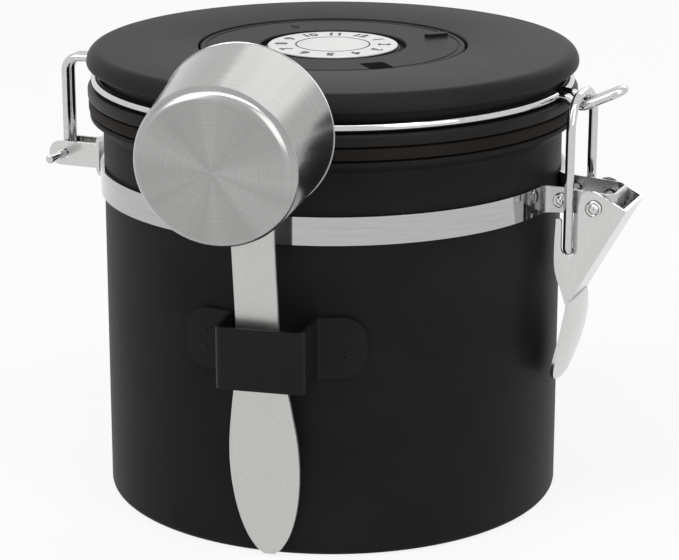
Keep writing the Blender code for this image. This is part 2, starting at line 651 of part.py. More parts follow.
def bail_wire(material):
    """One wire: hinge pin, leg, half the ring, the nose, and the same again on the other side."""
    reach = math.sqrt(RING_RADIUS ** 2 - HINGE_LEG_PLACE ** 2)
    half = [
        (HINGE_AXIS_PLACE, -HINGE_PIN_END, HINGE_AXIS_HEIGHT),
        (HINGE_AXIS_PLACE, -HINGE_LEG_PLACE, HINGE_AXIS_HEIGHT),
        (HINGE_AXIS_PLACE, -HINGE_LEG_PLACE, RING_HEIGHT - HINGE_LEG_DIP),
        (-LID_RADIUS - WIRE_RADIUS, -HINGE_LEG_PLACE, RING_HEIGHT - HINGE_LEG_DIP / 2),
        (-reach, -HINGE_LEG_PLACE, RING_HEIGHT),
    ]
    radii = [HINGE_PIN_BEND, HINGE_LEG_BEND, 0.0, RING_BEND / 2]
    first = math.pi + math.asin(HINGE_LEG_PLACE / RING_RADIUS)
    last = math.tau - math.asin(NOSE_HALF_WIDTH / RING_RADIUS)
    for index in range(1, RING_STEPS):
        angle = first + (last - first) * index / RING_STEPS
        half.append((RING_RADIUS * math.cos(angle), RING_RADIUS * math.sin(angle), RING_HEIGHT))
        radii.append(0.0)
    nose_start = math.sqrt(RING_RADIUS ** 2 - NOSE_HALF_WIDTH ** 2)
    half += [
        (nose_start, -NOSE_HALF_WIDTH, RING_HEIGHT),
        (NOSE_SHOULDER_PLACE, -NOSE_HALF_WIDTH, RING_HEIGHT - NOSE_SHOULDER_DROP),
        (NOSE_SEAT_PLACE - NOSE_SEAT_RUN, -NOSE_HALF_WIDTH, NOSE_SEAT_HEIGHT),
        (NOSE_SEAT_PLACE + NOSE_SEAT_RUN, -NOSE_HALF_WIDTH, NOSE_SEAT_HEIGHT),
        (NOSE_TIP_PLACE, -NOSE_HALF_WIDTH, RING_HEIGHT + NOSE_TIP_RISE),
    ]
    radii += [RING_BEND / 2, NOSE_BEND / 2, NOSE_BEND / 2, NOSE_BEND, NOSE_TIP_BEND]
    other = [(x, -y, z) for x, y, z in reversed(half)]
    return wire("bail_wire", bent_path(half + other, radii + radii[::-1]), material)


def latch_link(material):
    """Closed loop of wire over the nose. Its two bent-in ends lie in the lever's notches."""
    half = [
        (NOTCH_PLACE, -LINK_STUB_END, LINK_STUB_HEIGHT),
        (NOTCH_PLACE, -LINK_HALF_WIDTH, LINK_STUB_HEIGHT),
        (NOSE_SEAT_PLACE, -LINK_HALF_WIDTH, LINK_TOP_HEIGHT),
    ]
    other = [(x, -y, z) for x, y, z in reversed(half)]
    radii = [LINK_STUB_BEND, LINK_BEND, LINK_BEND, LINK_STUB_BEND]
    return wire("latch_link", bent_path(half + other, radii), material)


def neck_band(material):
    """Strap round the neck. At the latch it turns outwards into a closed lug with a hole for each rivet."""
    lug_end = FULCRUM_PLACE + LUG_END_REACH - BAND_THICKNESS / 2
    leave = math.asin((LUG_HALF_WIDTH + LUG_BEND) / (BAND_MIDDLE + LUG_BEND))
    bend_x = (BAND_MIDDLE + LUG_BEND) * math.cos(leave)
    turn = 90.0 - math.degrees(leave)
    half = []
    for index in range(BAND_STEPS + 1):
        angle = leave + (math.pi - leave) * (1.0 - index / BAND_STEPS)
        half.append((BAND_MIDDLE * math.cos(angle), BAND_MIDDLE * math.sin(angle)))
    centre = (bend_x, LUG_HALF_WIDTH + LUG_BEND)
    start = 180.0 + math.degrees(leave)
    half += arc(centre, LUG_BEND, start, start + turn)[1:]
    end_centre = (lug_end - LUG_END_BEND, LUG_HALF_WIDTH - LUG_END_BEND)
    half += arc(end_centre, LUG_END_BEND, 90.0, 0.0)
    other = [(x, -y) for x, y in reversed(half)]
    path = [(x, y, BAND_CENTRE_HEIGHT) for x, y in half + other[:-1]]
    widths = []
    for x, _, _ in path:
        along_lug = min(max((x - BODY_RADIUS) / (lug_end - BODY_RADIUS), 0.0), 1.0)
        widths.append((BAND_HEIGHT + (LUG_END_HEIGHT - BAND_HEIGHT) * along_lug) / 2)
    mesh = strip_mesh("neck_band", path, widths, BAND_THICKNESS, (0, 0, 1), True)
    band = add_object("neck_band", mesh, material)
    reach = LUG_OUTER + CUT_OVERRUN
    hole = PIVOT_RIVET_RADIUS + GAP
    cut(band, cross_cylinder_mesh("lug_pivot_hole", hole, reach, FULCRUM_PLACE, FULCRUM_HEIGHT))
    cut(band, cross_cylinder_mesh("lug_tie_hole", hole, reach, TIE_RIVET_PLACE, BAND_CENTRE_HEIGHT))
    return band


def band_tie_rivet(material):
    """Rivet that draws the band's two ends together beside the body."""
    span = LUG_OUTER + GAP
    profile = rivet_profile(PIVOT_RIVET_RADIUS, TIE_RIVET_HEAD, RIVET_HEAD_HEIGHT, span)
    rivet = turned("band_tie_rivet", profile, material, SMALL_TURN_STEPS)
    return lay_across(rivet, TIE_RIVET_PLACE, BAND_CENTRE_HEIGHT)


def latch_pivot_rivet(material):
    """Fulcrum of the lever, through the lug and both side plates."""
    span = LEVER_OUTER + GAP
    profile = rivet_profile(PIVOT_RIVET_RADIUS, PIVOT_RIVET_HEAD, RIVET_HEAD_HEIGHT, span)
    rivet = turned("latch_pivot_rivet", profile, material, SMALL_TURN_STEPS)
    return lay_across(rivet, FULCRUM_PLACE, FULCRUM_HEIGHT)


def hinge_bracket(material):
    """Saddle over the band with two ears that carry the bail's pins."""
    half = SADDLE_HEIGHT / 2
    inner = -(BODY_RADIUS + GAP + SADDLE_BEND)
    outer = -(BAND_INNER + BAND_THICKNESS + GAP + SADDLE_REACH)
    corners = [
        (inner, 0.0, HINGE_AXIS_HEIGHT + half - SADDLE_THICKNESS / 2),
        (outer, 0.0, HINGE_AXIS_HEIGHT + half - SADDLE_THICKNESS / 2),
        (outer, 0.0, HINGE_AXIS_HEIGHT - half + SADDLE_THICKNESS / 2),
        (inner, 0.0, HINGE_AXIS_HEIGHT - half + SADDLE_THICKNESS / 2),
    ]
    path = bent_path(corners, [SADDLE_BEND, SADDLE_BEND])
    ear_out = HINGE_EAR_PLACE + HINGE_EAR_THICKNESS / 2
    widths = [ear_out] * len(path)
    mesh = strip_mesh("hinge_bracket", path, widths, SADDLE_THICKNESS, (0, 1, 0))
    bracket = add_object("hinge_bracket", mesh, material)
    ear_half = HINGE_EAR_HEIGHT / 2
    outline = [(outer, HINGE_AXIS_HEIGHT - ear_half), (outer, HINGE_AXIS_HEIGHT + ear_half)]
    round_centre = (HINGE_AXIS_PLACE - HINGE_EAR_END + ear_half, HINGE_AXIS_HEIGHT)
    outline += arc(round_centre, ear_half, 90.0, 270.0, 2 * BEND_STEPS)
    for name, side in (("front", -1), ("back", 1)):
        faces = sorted((side * (HINGE_EAR_PLACE - HINGE_EAR_THICKNESS / 2), side * ear_out))
        cut(bracket, prism_mesh("hinge_ear_" + name, outline, *faces), "UNION")
    hole = WIRE_RADIUS + GAP
    reach = ear_out + CUT_OVERRUN
    cut(bracket, cross_cylinder_mesh("hinge_pin_hole", hole, reach, HINGE_AXIS_PLACE, HINGE_AXIS_HEIGHT))
    return bracket


def web_line(inset):
    """Ends of the lever's web line in side view as (x, z), moved inwards by the inset, and the way down it."""
    lean = LEVER_WEB_LEAN
    normal = Vector((math.cos(lean), -math.sin(lean)))
    down = Vector((-math.sin(lean), -math.cos(lean)))
    web = Vector((FULCRUM_PLACE, FULCRUM_HEIGHT)) + normal * (LEVER_WEB_PLACE - inset)
    return web - down * LEVER_WEB_PLACE * math.tan(lean), web + down * LEVER_THROAT_HEIGHT, down


def latch_lever(material):
    """Pressed channel: two side plates with a notch each, a slanted web, and a dished thumb tab."""
    top, throat, down = web_line(0.0)
    notch_left = NOTCH_PLACE - NOTCH_HALF_WIDTH
    notch_right = NOTCH_PLACE + NOTCH_HALF_WIDTH
    prong_left = notch_left - PRONG_WIDTH
    prong_top = FULCRUM_HEIGHT - PRONG_DROP
    heel = FULCRUM_PLACE - LEVER_HEEL
    heel_low = NOTCH_FLOOR - LEVER_HEEL_DROP
    ankle = throat.x - LEVER_ANKLE
    outline = [tuple(top), tuple(throat), (ankle, throat.y + LEVER_ANKLE_RISE), ((heel + ankle) / 2, heel_low)]
    outline += [(heel, (NOTCH_FLOOR + heel_low) / 2), (prong_left, NOTCH_FLOOR + NOTCH_HALF_WIDTH)]
    outline += [(prong_left, prong_top - PRONG_WIDTH / 2), (notch_left - PRONG_WIDTH / 2, prong_top)]
    outline += [(notch_left, prong_top), (notch_right, prong_top), (notch_right, FULCRUM_HEIGHT)]
    outline += [(notch_right + LEVER_CREST_RUN, FULCRUM_HEIGHT + LEVER_CREST_SIDE)]
    outline += [(FULCRUM_PLACE, FULCRUM_HEIGHT + LEVER_CREST)]
    lever = add_object("latch_lever", prism_mesh("latch_lever", outline, -LEVER_OUTER, LEVER_OUTER), material)
    inner_top, inner_throat, _ = web_line(LEVER_PLATE)
    far = FULCRUM_PLACE - 2 * LEVER_HEEL
    inside = [tuple(inner_top - down * 2 * LEVER_CREST), tuple(inner_throat + down * CUT_OVERRUN)]
    inside += [(far, inner_throat.y - CUT_OVERRUN), (far, FULCRUM_HEIGHT + 2 * LEVER_CREST)]
    cut(lever, prism_mesh("lever_channel_cut", inside, -LEVER_INNER, LEVER_INNER))
    notch = arc((NOTCH_PLACE, NOTCH_FLOOR + NOTCH_HALF_WIDTH), NOTCH_HALF_WIDTH, 180.0, 360.0, 2 * BEND_STEPS)
    notch += [(notch_right, FULCRUM_HEIGHT + CUT_OVERRUN), (notch_left, FULCRUM_HEIGHT + CUT_OVERRUN)]
    side = LEVER_OUTER + CUT_OVERRUN
    cut(lever, prism_mesh("lever_notch_cut", notch, -side, side))
    hole = PIVOT_RIVET_RADIUS + GAP
    cut(lever, cross_cylinder_mesh("lever_pivot_hole", hole, side, FULCRUM_PLACE, FULCRUM_HEIGHT))
    start = throat - down * TAB_OVERLAP - Vector((math.cos(LEVER_WEB_LEAN), 0.0)) * LEVER_PLATE / 2
    path, widths = [], []
    for share, width_share in TAB_WIDTH_SHARES:
        bow = (start.x - TAB_TIP_PLACE) * math.sin(math.pi / 2 * share)
        path.append((start.x - bow, 0.0, start.y - TAB_LENGTH * share))
        widths.append(TAB_HALF_WIDTH * width_share)
    cut(lever, strip_mesh("lever_thumb_tab", path, widths, LEVER_PLATE, (0, 1, 0), False, TAB_DISH), "UNION")
    return lever


def scoop_clip(material):
    """Strap of sheet with a box for the scoop's handle and a round-ended tab on each side."""
    tab_x = CLIP_MIDDLE * math.sin(CLIP_HALF_SPAN)
    side_x = CLIP_HALF_WIDTH
    front = -(BODY_RADIUS + CLIP_REACH - CLIP_THICKNESS / 2)
    height = CLIP_CENTRE_HEIGHT
    foot_angle = math.asin((side_x + CLIP_BEND) / CLIP_MIDDLE)
    tab = []
    for index in range(CLIP_TAB_STEPS + 1):
        angle = CLIP_HALF_SPAN + (foot_angle - CLIP_HALF_SPAN) * index / CLIP_TAB_STEPS
        tab.append((CLIP_MIDDLE * math.sin(angle), -CLIP_MIDDLE * math.cos(angle), height))
    foot = (side_x, -math.sqrt(CLIP_MIDDLE ** 2 - side_x ** 2), height)
    half = tab + [foot, (side_x, front, height)]
    radii = [0.0] * CLIP_TAB_STEPS + [CLIP_FOOT_BEND, CLIP_BEND]
    other = [(-x, y, z) for x, y, z in reversed(half)]
    path = bent_path(half + other, radii + radii[::-1])
    widths = []
    end = CLIP_HEIGHT / 2
    for point in path:
        inside = max(end - (tab_x - abs(point.x)), 0.0)
        widths.append(max(math.sqrt(max(end * end - inside * inside, 0.0)), CLIP_THICKNESS))
    mesh = strip_mesh("scoop_clip", path, widths, CLIP_THICKNESS, (0, 0, 1))
    return add_object("scoop_clip", mesh, material)


def handle_line(height):
    """Middle of the handle at a height, as a y place. The scoop leans outwards at its top."""
    return HANDLE_TIP_PLACE - (height - SCOOP_TIP_HEIGHT) * math.tan(SCOOP_LEAN)


def scoop_frame():
    """Mouth centre, the way up the handle and the way out of the bowl's base."""
    centre = Vector((0.0, handle_line(BOWL_CENTRE_HEIGHT), BOWL_CENTRE_HEIGHT))
    up = Vector((0.0, -math.sin(SCOOP_LEAN), math.cos(SCOOP_LEAN)))
    out = Vector((0.0, -math.cos(SCOOP_LEAN), -math.sin(SCOOP_LEAN)))
    return centre, up, out


def scoop_bowl(material):
    """Drawn cup whose mouth faces the canister."""
    depth = BOWL_DEPTH
    base = BOWL_BASE_RADIUS
    wall = BOWL_WALL
    profile = [(0.0, depth)] + arc((base - BOWL_ROUND, depth - BOWL_ROUND), BOWL_ROUND, 90.0, 0.0)
    profile += [(BOWL_MOUTH_RADIUS, 0.0), (BOWL_MOUTH_RADIUS - wall, 0.0)]
    profile += arc((base - BOWL_ROUND, depth - BOWL_ROUND), BOWL_ROUND - wall, 0.0, 90.0)
    profile += [(0.0, depth - wall)]
    bowl = turned("scoop_bowl", profile, material, MIDDLE_TURN_STEPS)
    centre, up, out = scoop_frame()
    side = up.cross(out)
    frame = Matrix((side, up, out)).transposed().to_4x4()
    bowl.matrix_world = Matrix.Translation(centre) @ frame
    return bowl


def scoop_handle(material):
    """Strip with a leaf-shaped end. Its top is bent out under the bowl, where it is welded."""
    centre, up, out = scoop_frame()
    tip = centre - up * (BOWL_CENTRE_HEIGHT - SCOOP_TIP_HEIGHT) / math.cos(SCOOP_LEAN)
    seat = BOWL_MOUTH_RADIUS + GAP + HANDLE_THICKNESS / 2
    corner = centre - up * seat
    stations = [(share * LEAF_LENGTH, grow * LEAF_HALF_WIDTH) for share, grow in LEAF_RISE_SHARES]
    spare = LEAF_HALF_WIDTH - HANDLE_HALF_WIDTH
    stations += [(share * LEAF_LENGTH, HANDLE_HALF_WIDTH + grow * spare) for share, grow in LEAF_FALL_SHARES]
    lower = [tip + up * place for place, _ in stations]
    upper = bent_path([lower[-1], corner, corner + out * WELD_TAB_LENGTH], [HANDLE_BEND])
    path = lower + upper[1:]
    widths = [width for _, width in stations] + [HANDLE_HALF_WIDTH] * (len(upper) - 1)
    mesh = strip_mesh("scoop_handle", path, widths, HANDLE_THICKNESS, (1, 0, 0))
    return add_object("scoop_handle", mesh, material)


def turn_about_canister(thing, angle):
    bpy.context.view_layer.update()
    thing.matrix_world = Matrix.Rotation(angle, 4, "Z") @ thing.matrix_world


def build():
    clear_objects()
    black_steel = make_material("black_powder_coat", (0.016, 0.016, 0.017), 0.5, 0.0)
    black_plastic = make_material("black_plastic", (0.040, 0.040, 0.038), 0.45, 0.0)
    brown_rubber = make_material("brown_rubber", (0.035, 0.027, 0.023), 0.6, 0.0)
    white_plastic = make_material("white_plastic", (0.75, 0.75, 0.73), 0.5, 0.0)
    chrome = make_material("chromed_wire", (0.75, 0.75, 0.75), 0.12, 1.0)
    polished = make_material("polished_steel", (0.70, 0.70, 0.69), 0.20, 1.0)
    brushed = make_material("brushed_steel", (0.55, 0.55, 0.53), 0.35, 1.0)
    clear_rubber = make_material("clear_silicone", (0.60, 0.60, 0.58), 0.4, 0.0)

    canister_body(black_steel)
    neck_band(polished)
    band_tie_rivet(polished)
    latch_pivot_rivet(polished)
    hinge_bracket(polished)
    clip = scoop_clip(black_steel)

    lid_axis = add_axis("lid_axis", (HINGE_AXIS_PLACE, 0.0, HINGE_AXIS_HEIGHT))
    for piece in (
        lid_cover(black_plastic),
        lid_lower_shell(black_plastic),
        lid_gasket(brown_rubber),
        bail_wire(chrome),
        day_ring(white_plastic),
        dial_retainer(white_plastic),
        valve_housing(white_plastic),
        valve_cap(white_plastic),
        valve_filter(brushed),
    ):
        keep_place(piece, lid_axis)

    dial_axis = add_axis("dial_axis", (0.0, 0.0, DIAL_BOTTOM), parent=lid_axis)
    keep_place(dial_disc(black_plastic), dial_axis)
    month_axis = add_axis("month_axis", (0.0, 0.0, HUB_BOTTOM), parent=lid_axis)
    keep_place(month_hub(black_plastic), month_axis)
    keep_place(month_plate(brushed), month_axis)
    flap_axis = add_axis("flap_axis", (0.0, 0.0, LID_FLOOR_TOP), parent=lid_axis)
    keep_place(valve_flap(clear_rubber), flap_axis)

    link_axis = add_axis("link_axis", (NOSE_SEAT_PLACE, 0.0, LINK_TOP_HEIGHT), parent=lid_axis)
    keep_place(latch_link(chrome), link_axis)
    lever_axis = add_axis("lever_axis", (FULCRUM_PLACE, 0.0, FULCRUM_HEIGHT))
    keep_place(latch_lever(polished), lever_axis)

    scoop_axis = add_axis("scoop_axis", (0.0, handle_line(CLIP_CENTRE_HEIGHT), CLIP_CENTRE_HEIGHT))
    keep_place(scoop_bowl(brushed), scoop_axis)
    keep_place(scoop_handle(brushed), scoop_axis)
    turn_about_canister(clip, CLIP_TURN)
    turn_about_canister(scoop_axis, SCOOP_TURN)


build()
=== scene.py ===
import math

import bmesh
import bpy
from mathutils import Matrix, Vector


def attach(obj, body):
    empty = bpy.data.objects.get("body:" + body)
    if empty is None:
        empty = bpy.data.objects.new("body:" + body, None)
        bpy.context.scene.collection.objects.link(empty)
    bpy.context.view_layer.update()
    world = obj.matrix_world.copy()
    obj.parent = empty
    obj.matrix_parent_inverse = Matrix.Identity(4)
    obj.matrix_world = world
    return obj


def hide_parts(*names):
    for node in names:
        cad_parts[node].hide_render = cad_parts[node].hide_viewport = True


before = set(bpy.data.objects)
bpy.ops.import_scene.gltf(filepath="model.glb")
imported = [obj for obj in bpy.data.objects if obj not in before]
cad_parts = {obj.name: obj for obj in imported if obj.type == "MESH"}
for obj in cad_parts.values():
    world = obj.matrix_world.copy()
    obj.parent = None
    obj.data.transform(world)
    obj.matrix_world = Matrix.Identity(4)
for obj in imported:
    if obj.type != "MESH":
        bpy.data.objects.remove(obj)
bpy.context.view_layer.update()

# Lengths are in metres, and angles in radians unless a name says degrees. The photographed side faces -Y,
# and the latch is on the +X side. A name ends in R for a radius, T for a thickness, H for a height, W for a
# width, HALF for half a width, L for a length, D for a depth, A for an angle, or in its axis for a place.

# GAP is the space between neighbouring pieces, PLAY the wider one beside parts that turn, and OVERCUT how
# far a cutting shape passes what it cuts.
GAP = 0.0003
PLAY = 0.0004
OVERCUT = 0.001
MERGE = 0.0000005
STRIP_EDGE = 0.00018
SHEET_EDGE = 0.0002
PRESSED_EDGE = 0.00022
HANDLE_EDGE = 0.0003
TINY = 1e-9
STEPS = 160
CARD_STEPS = 96
PLATE_STEPS = 128
HOLE_STEPS = 48
BEND = 10
SHARP_DEGREES = 32.0
WIRE_SHARP_DEGREES = 50.0
RIVET_SHARP_DEGREES = 40.0

# Body
BODY_R = 0.0625
BODY_WALL = 0.0009
FOOT_R = 0.0016
NECK_Z = 0.1028
FLARE_RISE = 0.0024
FLARE_REACH = 0.0035
LIP = 0.0013
GROOVE_INSET = 0.0165
GROOVE_W = 0.0040
GROOVE_D = 0.0012
NECK_BEND = 0.0016
FLARE_BEND = 0.0007
BARE_FROM = 0.0006
BARE_SLOPE = 0.3

# Lid
LID_OVERHANG = 0.0042
LID_RISE = 0.0102
RIM_H = 0.0047
COVER_ROUND = 0.0036
COVER_WALL = 0.0020
CORNER = 0.0005
FOOT_ROUND = 0.0010
GASKET_H = 0.0033
GASKET_INSET = 0.0004
GASKET_W = 0.0057
FLANGE_H = 0.0031
FLANGE_INSET = 0.0002
NECK_INSET = 0.0040
SHELL_T = 0.0020
SPIGOT_D = 0.0068
FLANGE_EDGE = 0.0007
SHELL_EDGE = 0.0004
GASKET_EDGE = 0.0009
VALVE_HOLE_R = 0.0110

# Dial
DIAL_R = 0.0359
DIAL_GAP = 0.0006
DIAL_DEPTH = 0.0032
DIAL_SINK = 0.0003
POCKET_R = 0.0199
POCKET_D = 0.0014
WINDOW_MARGIN = 0.0010
WINDOW_L = 0.0084
WINDOW_W = 0.0068
WINDOW_A = math.radians(-46.0)
GRIP_MARGIN = 0.0018
GRIP_L = 0.0068
GRIP_W = 0.0024
GRIP_H = 0.0009
DAY_T = 0.0004
DAY_MARGIN = 0.0003
DAY_SPARE = 0.0020
HUB_INSET = 0.0014
HUB_T = 0.0005
STEM_R = 0.0040
PLATE_INSET = 0.0009
PLATE_T = 0.0004
RETAINER_T = 0.0012
WINDOW_CORNER = 0.0009
DIAL_CHAMFER = 0.0003
HUB_CHAMFER = 0.0002
PLATE_CHAMFER = 0.00015
# Groove along the dial's edge: distance in from the edge, and depth
EDGE_GROOVE = ((0.0013, 0.0), (0.0015, 0.00025), (0.0019, 0.00025), (0.0021, 0.0))
# The dial's arrow: distance from the axis, and to the side
ARROW_SHAPE = (
    (0.0305, 0.0), (0.0285, 0.0011), (0.0285, 0.0004), (0.0262, 0.0004),
    (0.0262, -0.0004), (0.0285, -0.0004), (0.0285, -0.0011),
)
ARROW_SINK = 0.0001
ARROW_RISE = 0.00018
TEXT_SIZE = 0.0046
TEXT_T = 0.00003
TEXT_BOLD = 0.032
DAYS = 31
MONTHS = 12
SHOWN_DAY = 21
DAY_TEXT_R = 0.0304
MONTH_TEXT_R = 0.0138
MONTH_FIRST_A = math.radians(49.0)
LINE_R = 0.0100
LINE_HALF = 0.00022
LINE_SINK = 0.00002
LINE_RISE = 0.00004

# Wires and latch
WIRE_R = 0.00125
WIRE_SIDES = 18
WIRE_EDGE = 0.35
WIRE_MIN_STEP = 0.04
RING_INSET = 0.0024
RING_STEPS = 80
BAND_DROP = 0.0146
BAND_H = 0.0074
BAND_T = 0.0008
BAND_STEPS = 96
LUG_Y = 0.0072
LUG_BEND = 0.0025
LUG_REACH = 0.0052
LUG_END_BEND = 0.0030
LUG_END_H = 0.0050
LUG_STEPS = 6
TIE_OFFSET = 0.0094
TIE_HEAD = 0.0020
HINGE_REACH = 0.0143
HINGE_DROP = 0.0014
EAR_H = 0.0070
EAR_T = 0.0010
EAR_Y = 0.0037
EAR_END = 0.0046
SADDLE_H = 0.0120
SADDLE_REACH = 0.0064
SADDLE_T = 0.0010
SADDLE_BEND = 0.0016
LEG_Y = 0.0015
LEG_DIP = 0.0008
LEG_BEND = 0.0040
PIN_BEND = 0.0015
PIN_END = 0.0130
NOSE_Y = 0.0029
SEAT_REACH = 0.0041
SEAT_DROP = 0.0022
SEAT_RUN = 0.0011
SHOULDER_REACH = 0.0007
SHOULDER_DROP = 0.0004
TIP_REACH = 0.0107
TIP_RISE = 0.0023
RING_BEND = 0.0011
NOSE_BENDS = (0.0011, 0.0007, 0.0007, 0.0014, 0.0026)
FULCRUM_OFFSET = 0.0064
FULCRUM_DROP = 0.0011
PIVOT_R = 0.0014
PIVOT_HEAD = 0.0022
HEAD_H = 0.0009
# A rivet's head: share of its radius, and share of its height
HEAD_SHAPE = (
    (1.0, 0.0), (1.0, 0.35), (0.95, 0.5), (0.80, 0.62), (0.70, 0.45), (0.62, 0.42),
    (0.55, 0.62), (0.42, 0.92), (0.28, 1.0), (0.16, 0.90), (0.0, 0.72),
)
LEVER_T = 0.0009
CREASE_SIDE = 0.0010
CREASE_WEB = 0.0003
CREASE_START = 0.0020
CREASE_END = 0.0016
WEB_PLACE = 0.0076
WEB_LEAN = math.radians(29.3)
CREST = 0.0046
CREST_SIDE = 0.0037
CREST_RUN = 0.0015
CREST_START = 0.7
CREST_LIFT = 0.0004
CREST_SIDE_BEND = 0.0016
CREST_BEND = 0.0030
THROAT = 0.0272
HEEL = 0.0103
HEEL_DROP = 0.0068
HEEL_HOLLOW = 0.0002
ANKLE = 0.0016
ANKLE_RISE = 0.0040
THROAT_SETBACK = 0.0004
NOTCH_OFFSET = 0.0002
NOTCH_R = 0.00225
NOTCH_DROP = 0.0136
PRONG_DROP = 0.0036
PRONG_W = 0.0017
PRONG_BOW = 0.0001
PRONG_TAPER = 0.0002
TAB_L = 0.0237
TAB_HALF = 0.0120
TAB_OVERLAP = 0.0012
TAB_TIP_GAP = 0.0032
TAB_DISH = 0.0012
DISH_START = 0.25
DISH_GROWTH = 2.2
DISH_WIDTH = 1.6
# The thumb tab from the throat to its tip: share of its length, and share of its half width
TAB_SHAPE = (
    (0.0, 0.72), (0.10, 0.80), (0.25, 0.92), (0.42, 0.99), (0.58, 1.0),
    (0.75, 0.92), (0.88, 0.70), (0.96, 0.44), (1.0, 0.22),
)
LINK_Y = 0.01035
LINK_BEND = 0.0080
STUB_BEND = 0.0016
STUB_END = 0.0083

# Scoop and clip
CLIP_H = 0.0163
CLIP_Z = 0.0575
CLIP_T = 0.0010
CLIP_SIDE_GAP = 0.0019
CLIP_REACH = 0.0142
CLIP_BEND = 0.0016
CLIP_FOOT_BEND = 0.0014
TAB_CORNER = 0.0062
CLIP_SPAN = math.radians(22.0)
CLIP_TURN = math.radians(7.9)
CLIP_STEPS = 32
CLIP_EASE = 1.6
WELD_A = math.radians(16.8)
WELD_Z = 0.0023
WELD_SHAPE = ((0.0, 0.00016), (0.0004, 0.00014), (0.0008, 0.00007), (0.0011, 0.0))
SCOOP_TURN = math.radians(6.9)
LEAN = math.radians(8.0)
TIP_Z = 0.0006
TIP_GAP = 0.0005
HANDLE_T = 0.0014
HANDLE_HALF = 0.0056
LEAF_HALF = 0.0093
LEAF_L = 0.0640
HANDLE_BEND = 0.0026
WELD_L = 0.0120
MOUTH_R = 0.0222
CUP_TAPER = 0.0020
CUP_D = 0.0290
CUP_WALL = 0.0008
CUP_ROUND = 0.0040
CUP_RISE = 0.0605
CUP_FLAT_EDGE = 0.004
# Round the cup's lip: radius from the outside or the inside wall, and height
LIP_OUTSIDE = ((-0.0002, 0.0004), (0.0, 0.0002), (-0.0001, 0.0))
LIP_INSIDE = ((0.0001, 0.0), (0.0, 0.0003))
# The handle from its tip up: share of the leaf's length, and share of its half width
LEAF_SHAPE = (
    (0.0, 0.14), (0.012, 0.27), (0.03, 0.385), (0.09, 0.62), (0.18, 0.82), (0.29, 0.95), (0.40, 1.0),
)
# Above its widest place: share of the leaf's length, and share of what it is wider than the handle
TAPER_SHAPE = ((0.52, 0.93), (0.64, 0.68), (0.76, 0.38), (0.88, 0.13), (1.0, 0.0))

LID_R = BODY_R + LID_OVERHANG
GROOVE_R = BODY_R - GROOVE_INSET
FLARE_R = BODY_R + FLARE_REACH
FLARE_TOP = NECK_Z + FLARE_RISE
LIP_TOP = FLARE_TOP + LIP
GASKET_LOW = LIP_TOP + GAP
GASKET_TOP = GASKET_LOW + GASKET_H
FLANGE_LOW = GASKET_TOP + GAP
FLANGE_TOP = FLANGE_LOW + FLANGE_H
LID_Z = FLANGE_TOP + LID_RISE
COVER_LOW = LID_Z - RIM_H
LID_NECK_R = LID_R - NECK_INSET
SPIGOT_R = LID_R - GASKET_INSET - GASKET_W - GAP
DIAL_FLOOR = LID_Z - DIAL_DEPTH
WELL_R = DIAL_R + DIAL_GAP
WINDOW_OUT = DIAL_R - WINDOW_MARGIN
WINDOW_IN = WINDOW_OUT - WINDOW_L
GRIP_OUT = DIAL_R - GRIP_MARGIN
GRIP_IN = GRIP_OUT - GRIP_L
DAY_OUT = DIAL_R - DAY_MARGIN
DAY_IN = WINDOW_IN - DAY_SPARE
HUB_R = POCKET_R - HUB_INSET
PLATE_R = HUB_R - PLATE_INSET
DIAL_LOW = DIAL_FLOOR + DAY_T + 2 * GAP
DIAL_TOP = LID_Z - DIAL_SINK
POCKET_Z = DIAL_TOP - POCKET_D
HUB_LOW = POCKET_Z + GAP
HUB_TOP = HUB_LOW + HUB_T
PLATE_LOW = HUB_TOP + GAP
PLATE_TOP = PLATE_LOW + PLATE_T
STEM_HOLE = STEM_R + PLAY
WELL_UNDER = DIAL_FLOOR - COVER_WALL
RING_R = LID_R - RING_INSET
RING_Z = FLANGE_TOP + WIRE_R + GAP
SHOULDER_X = LID_R + SHOULDER_REACH
SEAT_X = LID_R + SEAT_REACH
SEAT_Z = RING_Z - SEAT_DROP
TIP_X = SEAT_X + TIP_REACH
NOTCH_X = SEAT_X - NOTCH_OFFSET
FULCRUM_X = NOTCH_X + FULCRUM_OFFSET
TIE_X = FULCRUM_X - TIE_OFFSET
TAB_TIP_X = BODY_R + TAB_TIP_GAP
BAND_Z = NECK_Z - BAND_DROP
FULCRUM_Z = BAND_Z - FULCRUM_DROP
HINGE_X = -(LID_R + HINGE_REACH)
HINGE_Z = BAND_Z - HINGE_DROP
BAND_IN = BODY_R + GAP
BAND_MID = BAND_IN + BAND_T / 2
LUG_OUT = LUG_Y + BAND_T / 2
LEVER_IN = LUG_OUT + PLAY
LEVER_OUT = LEVER_IN + LEVER_T
NOTCH_Z = FULCRUM_Z - NOTCH_DROP
STUB_Z = NOTCH_Z + GAP + WIRE_R
LINK_TOP = SEAT_Z + 2 * WIRE_R + GAP
CLIP_HALF = LEAF_HALF + CLIP_SIDE_GAP
CUP_R = MOUTH_R - CUP_TAPER
CUP_Z = CLIP_Z + CUP_RISE


# Mesh helpers

def arc(centre, radius, start, end, steps=BEND):
    points = []
    for i in range(steps + 1):
        a = math.radians(start + (end - start) * i / steps)
        points.append((centre[0] + radius * math.cos(a), centre[1] + radius * math.sin(a)))
    return points


def finish_mesh(name, bm, angle=SHARP_DEGREES):
    bmesh.ops.remove_doubles(bm, verts=bm.verts, dist=MERGE)
    bmesh.ops.recalc_face_normals(bm, faces=bm.faces)
    mesh = bpy.data.meshes.new(name)
    bm.to_mesh(mesh)
    bm.free()
    mesh.shade_smooth()
    mesh.set_sharp_from_angle(angle=math.radians(angle))
    return mesh


def add_object(name, data):
    thing = bpy.data.objects.new(name, data)
    bpy.context.scene.collection.objects.link(thing)
    return thing


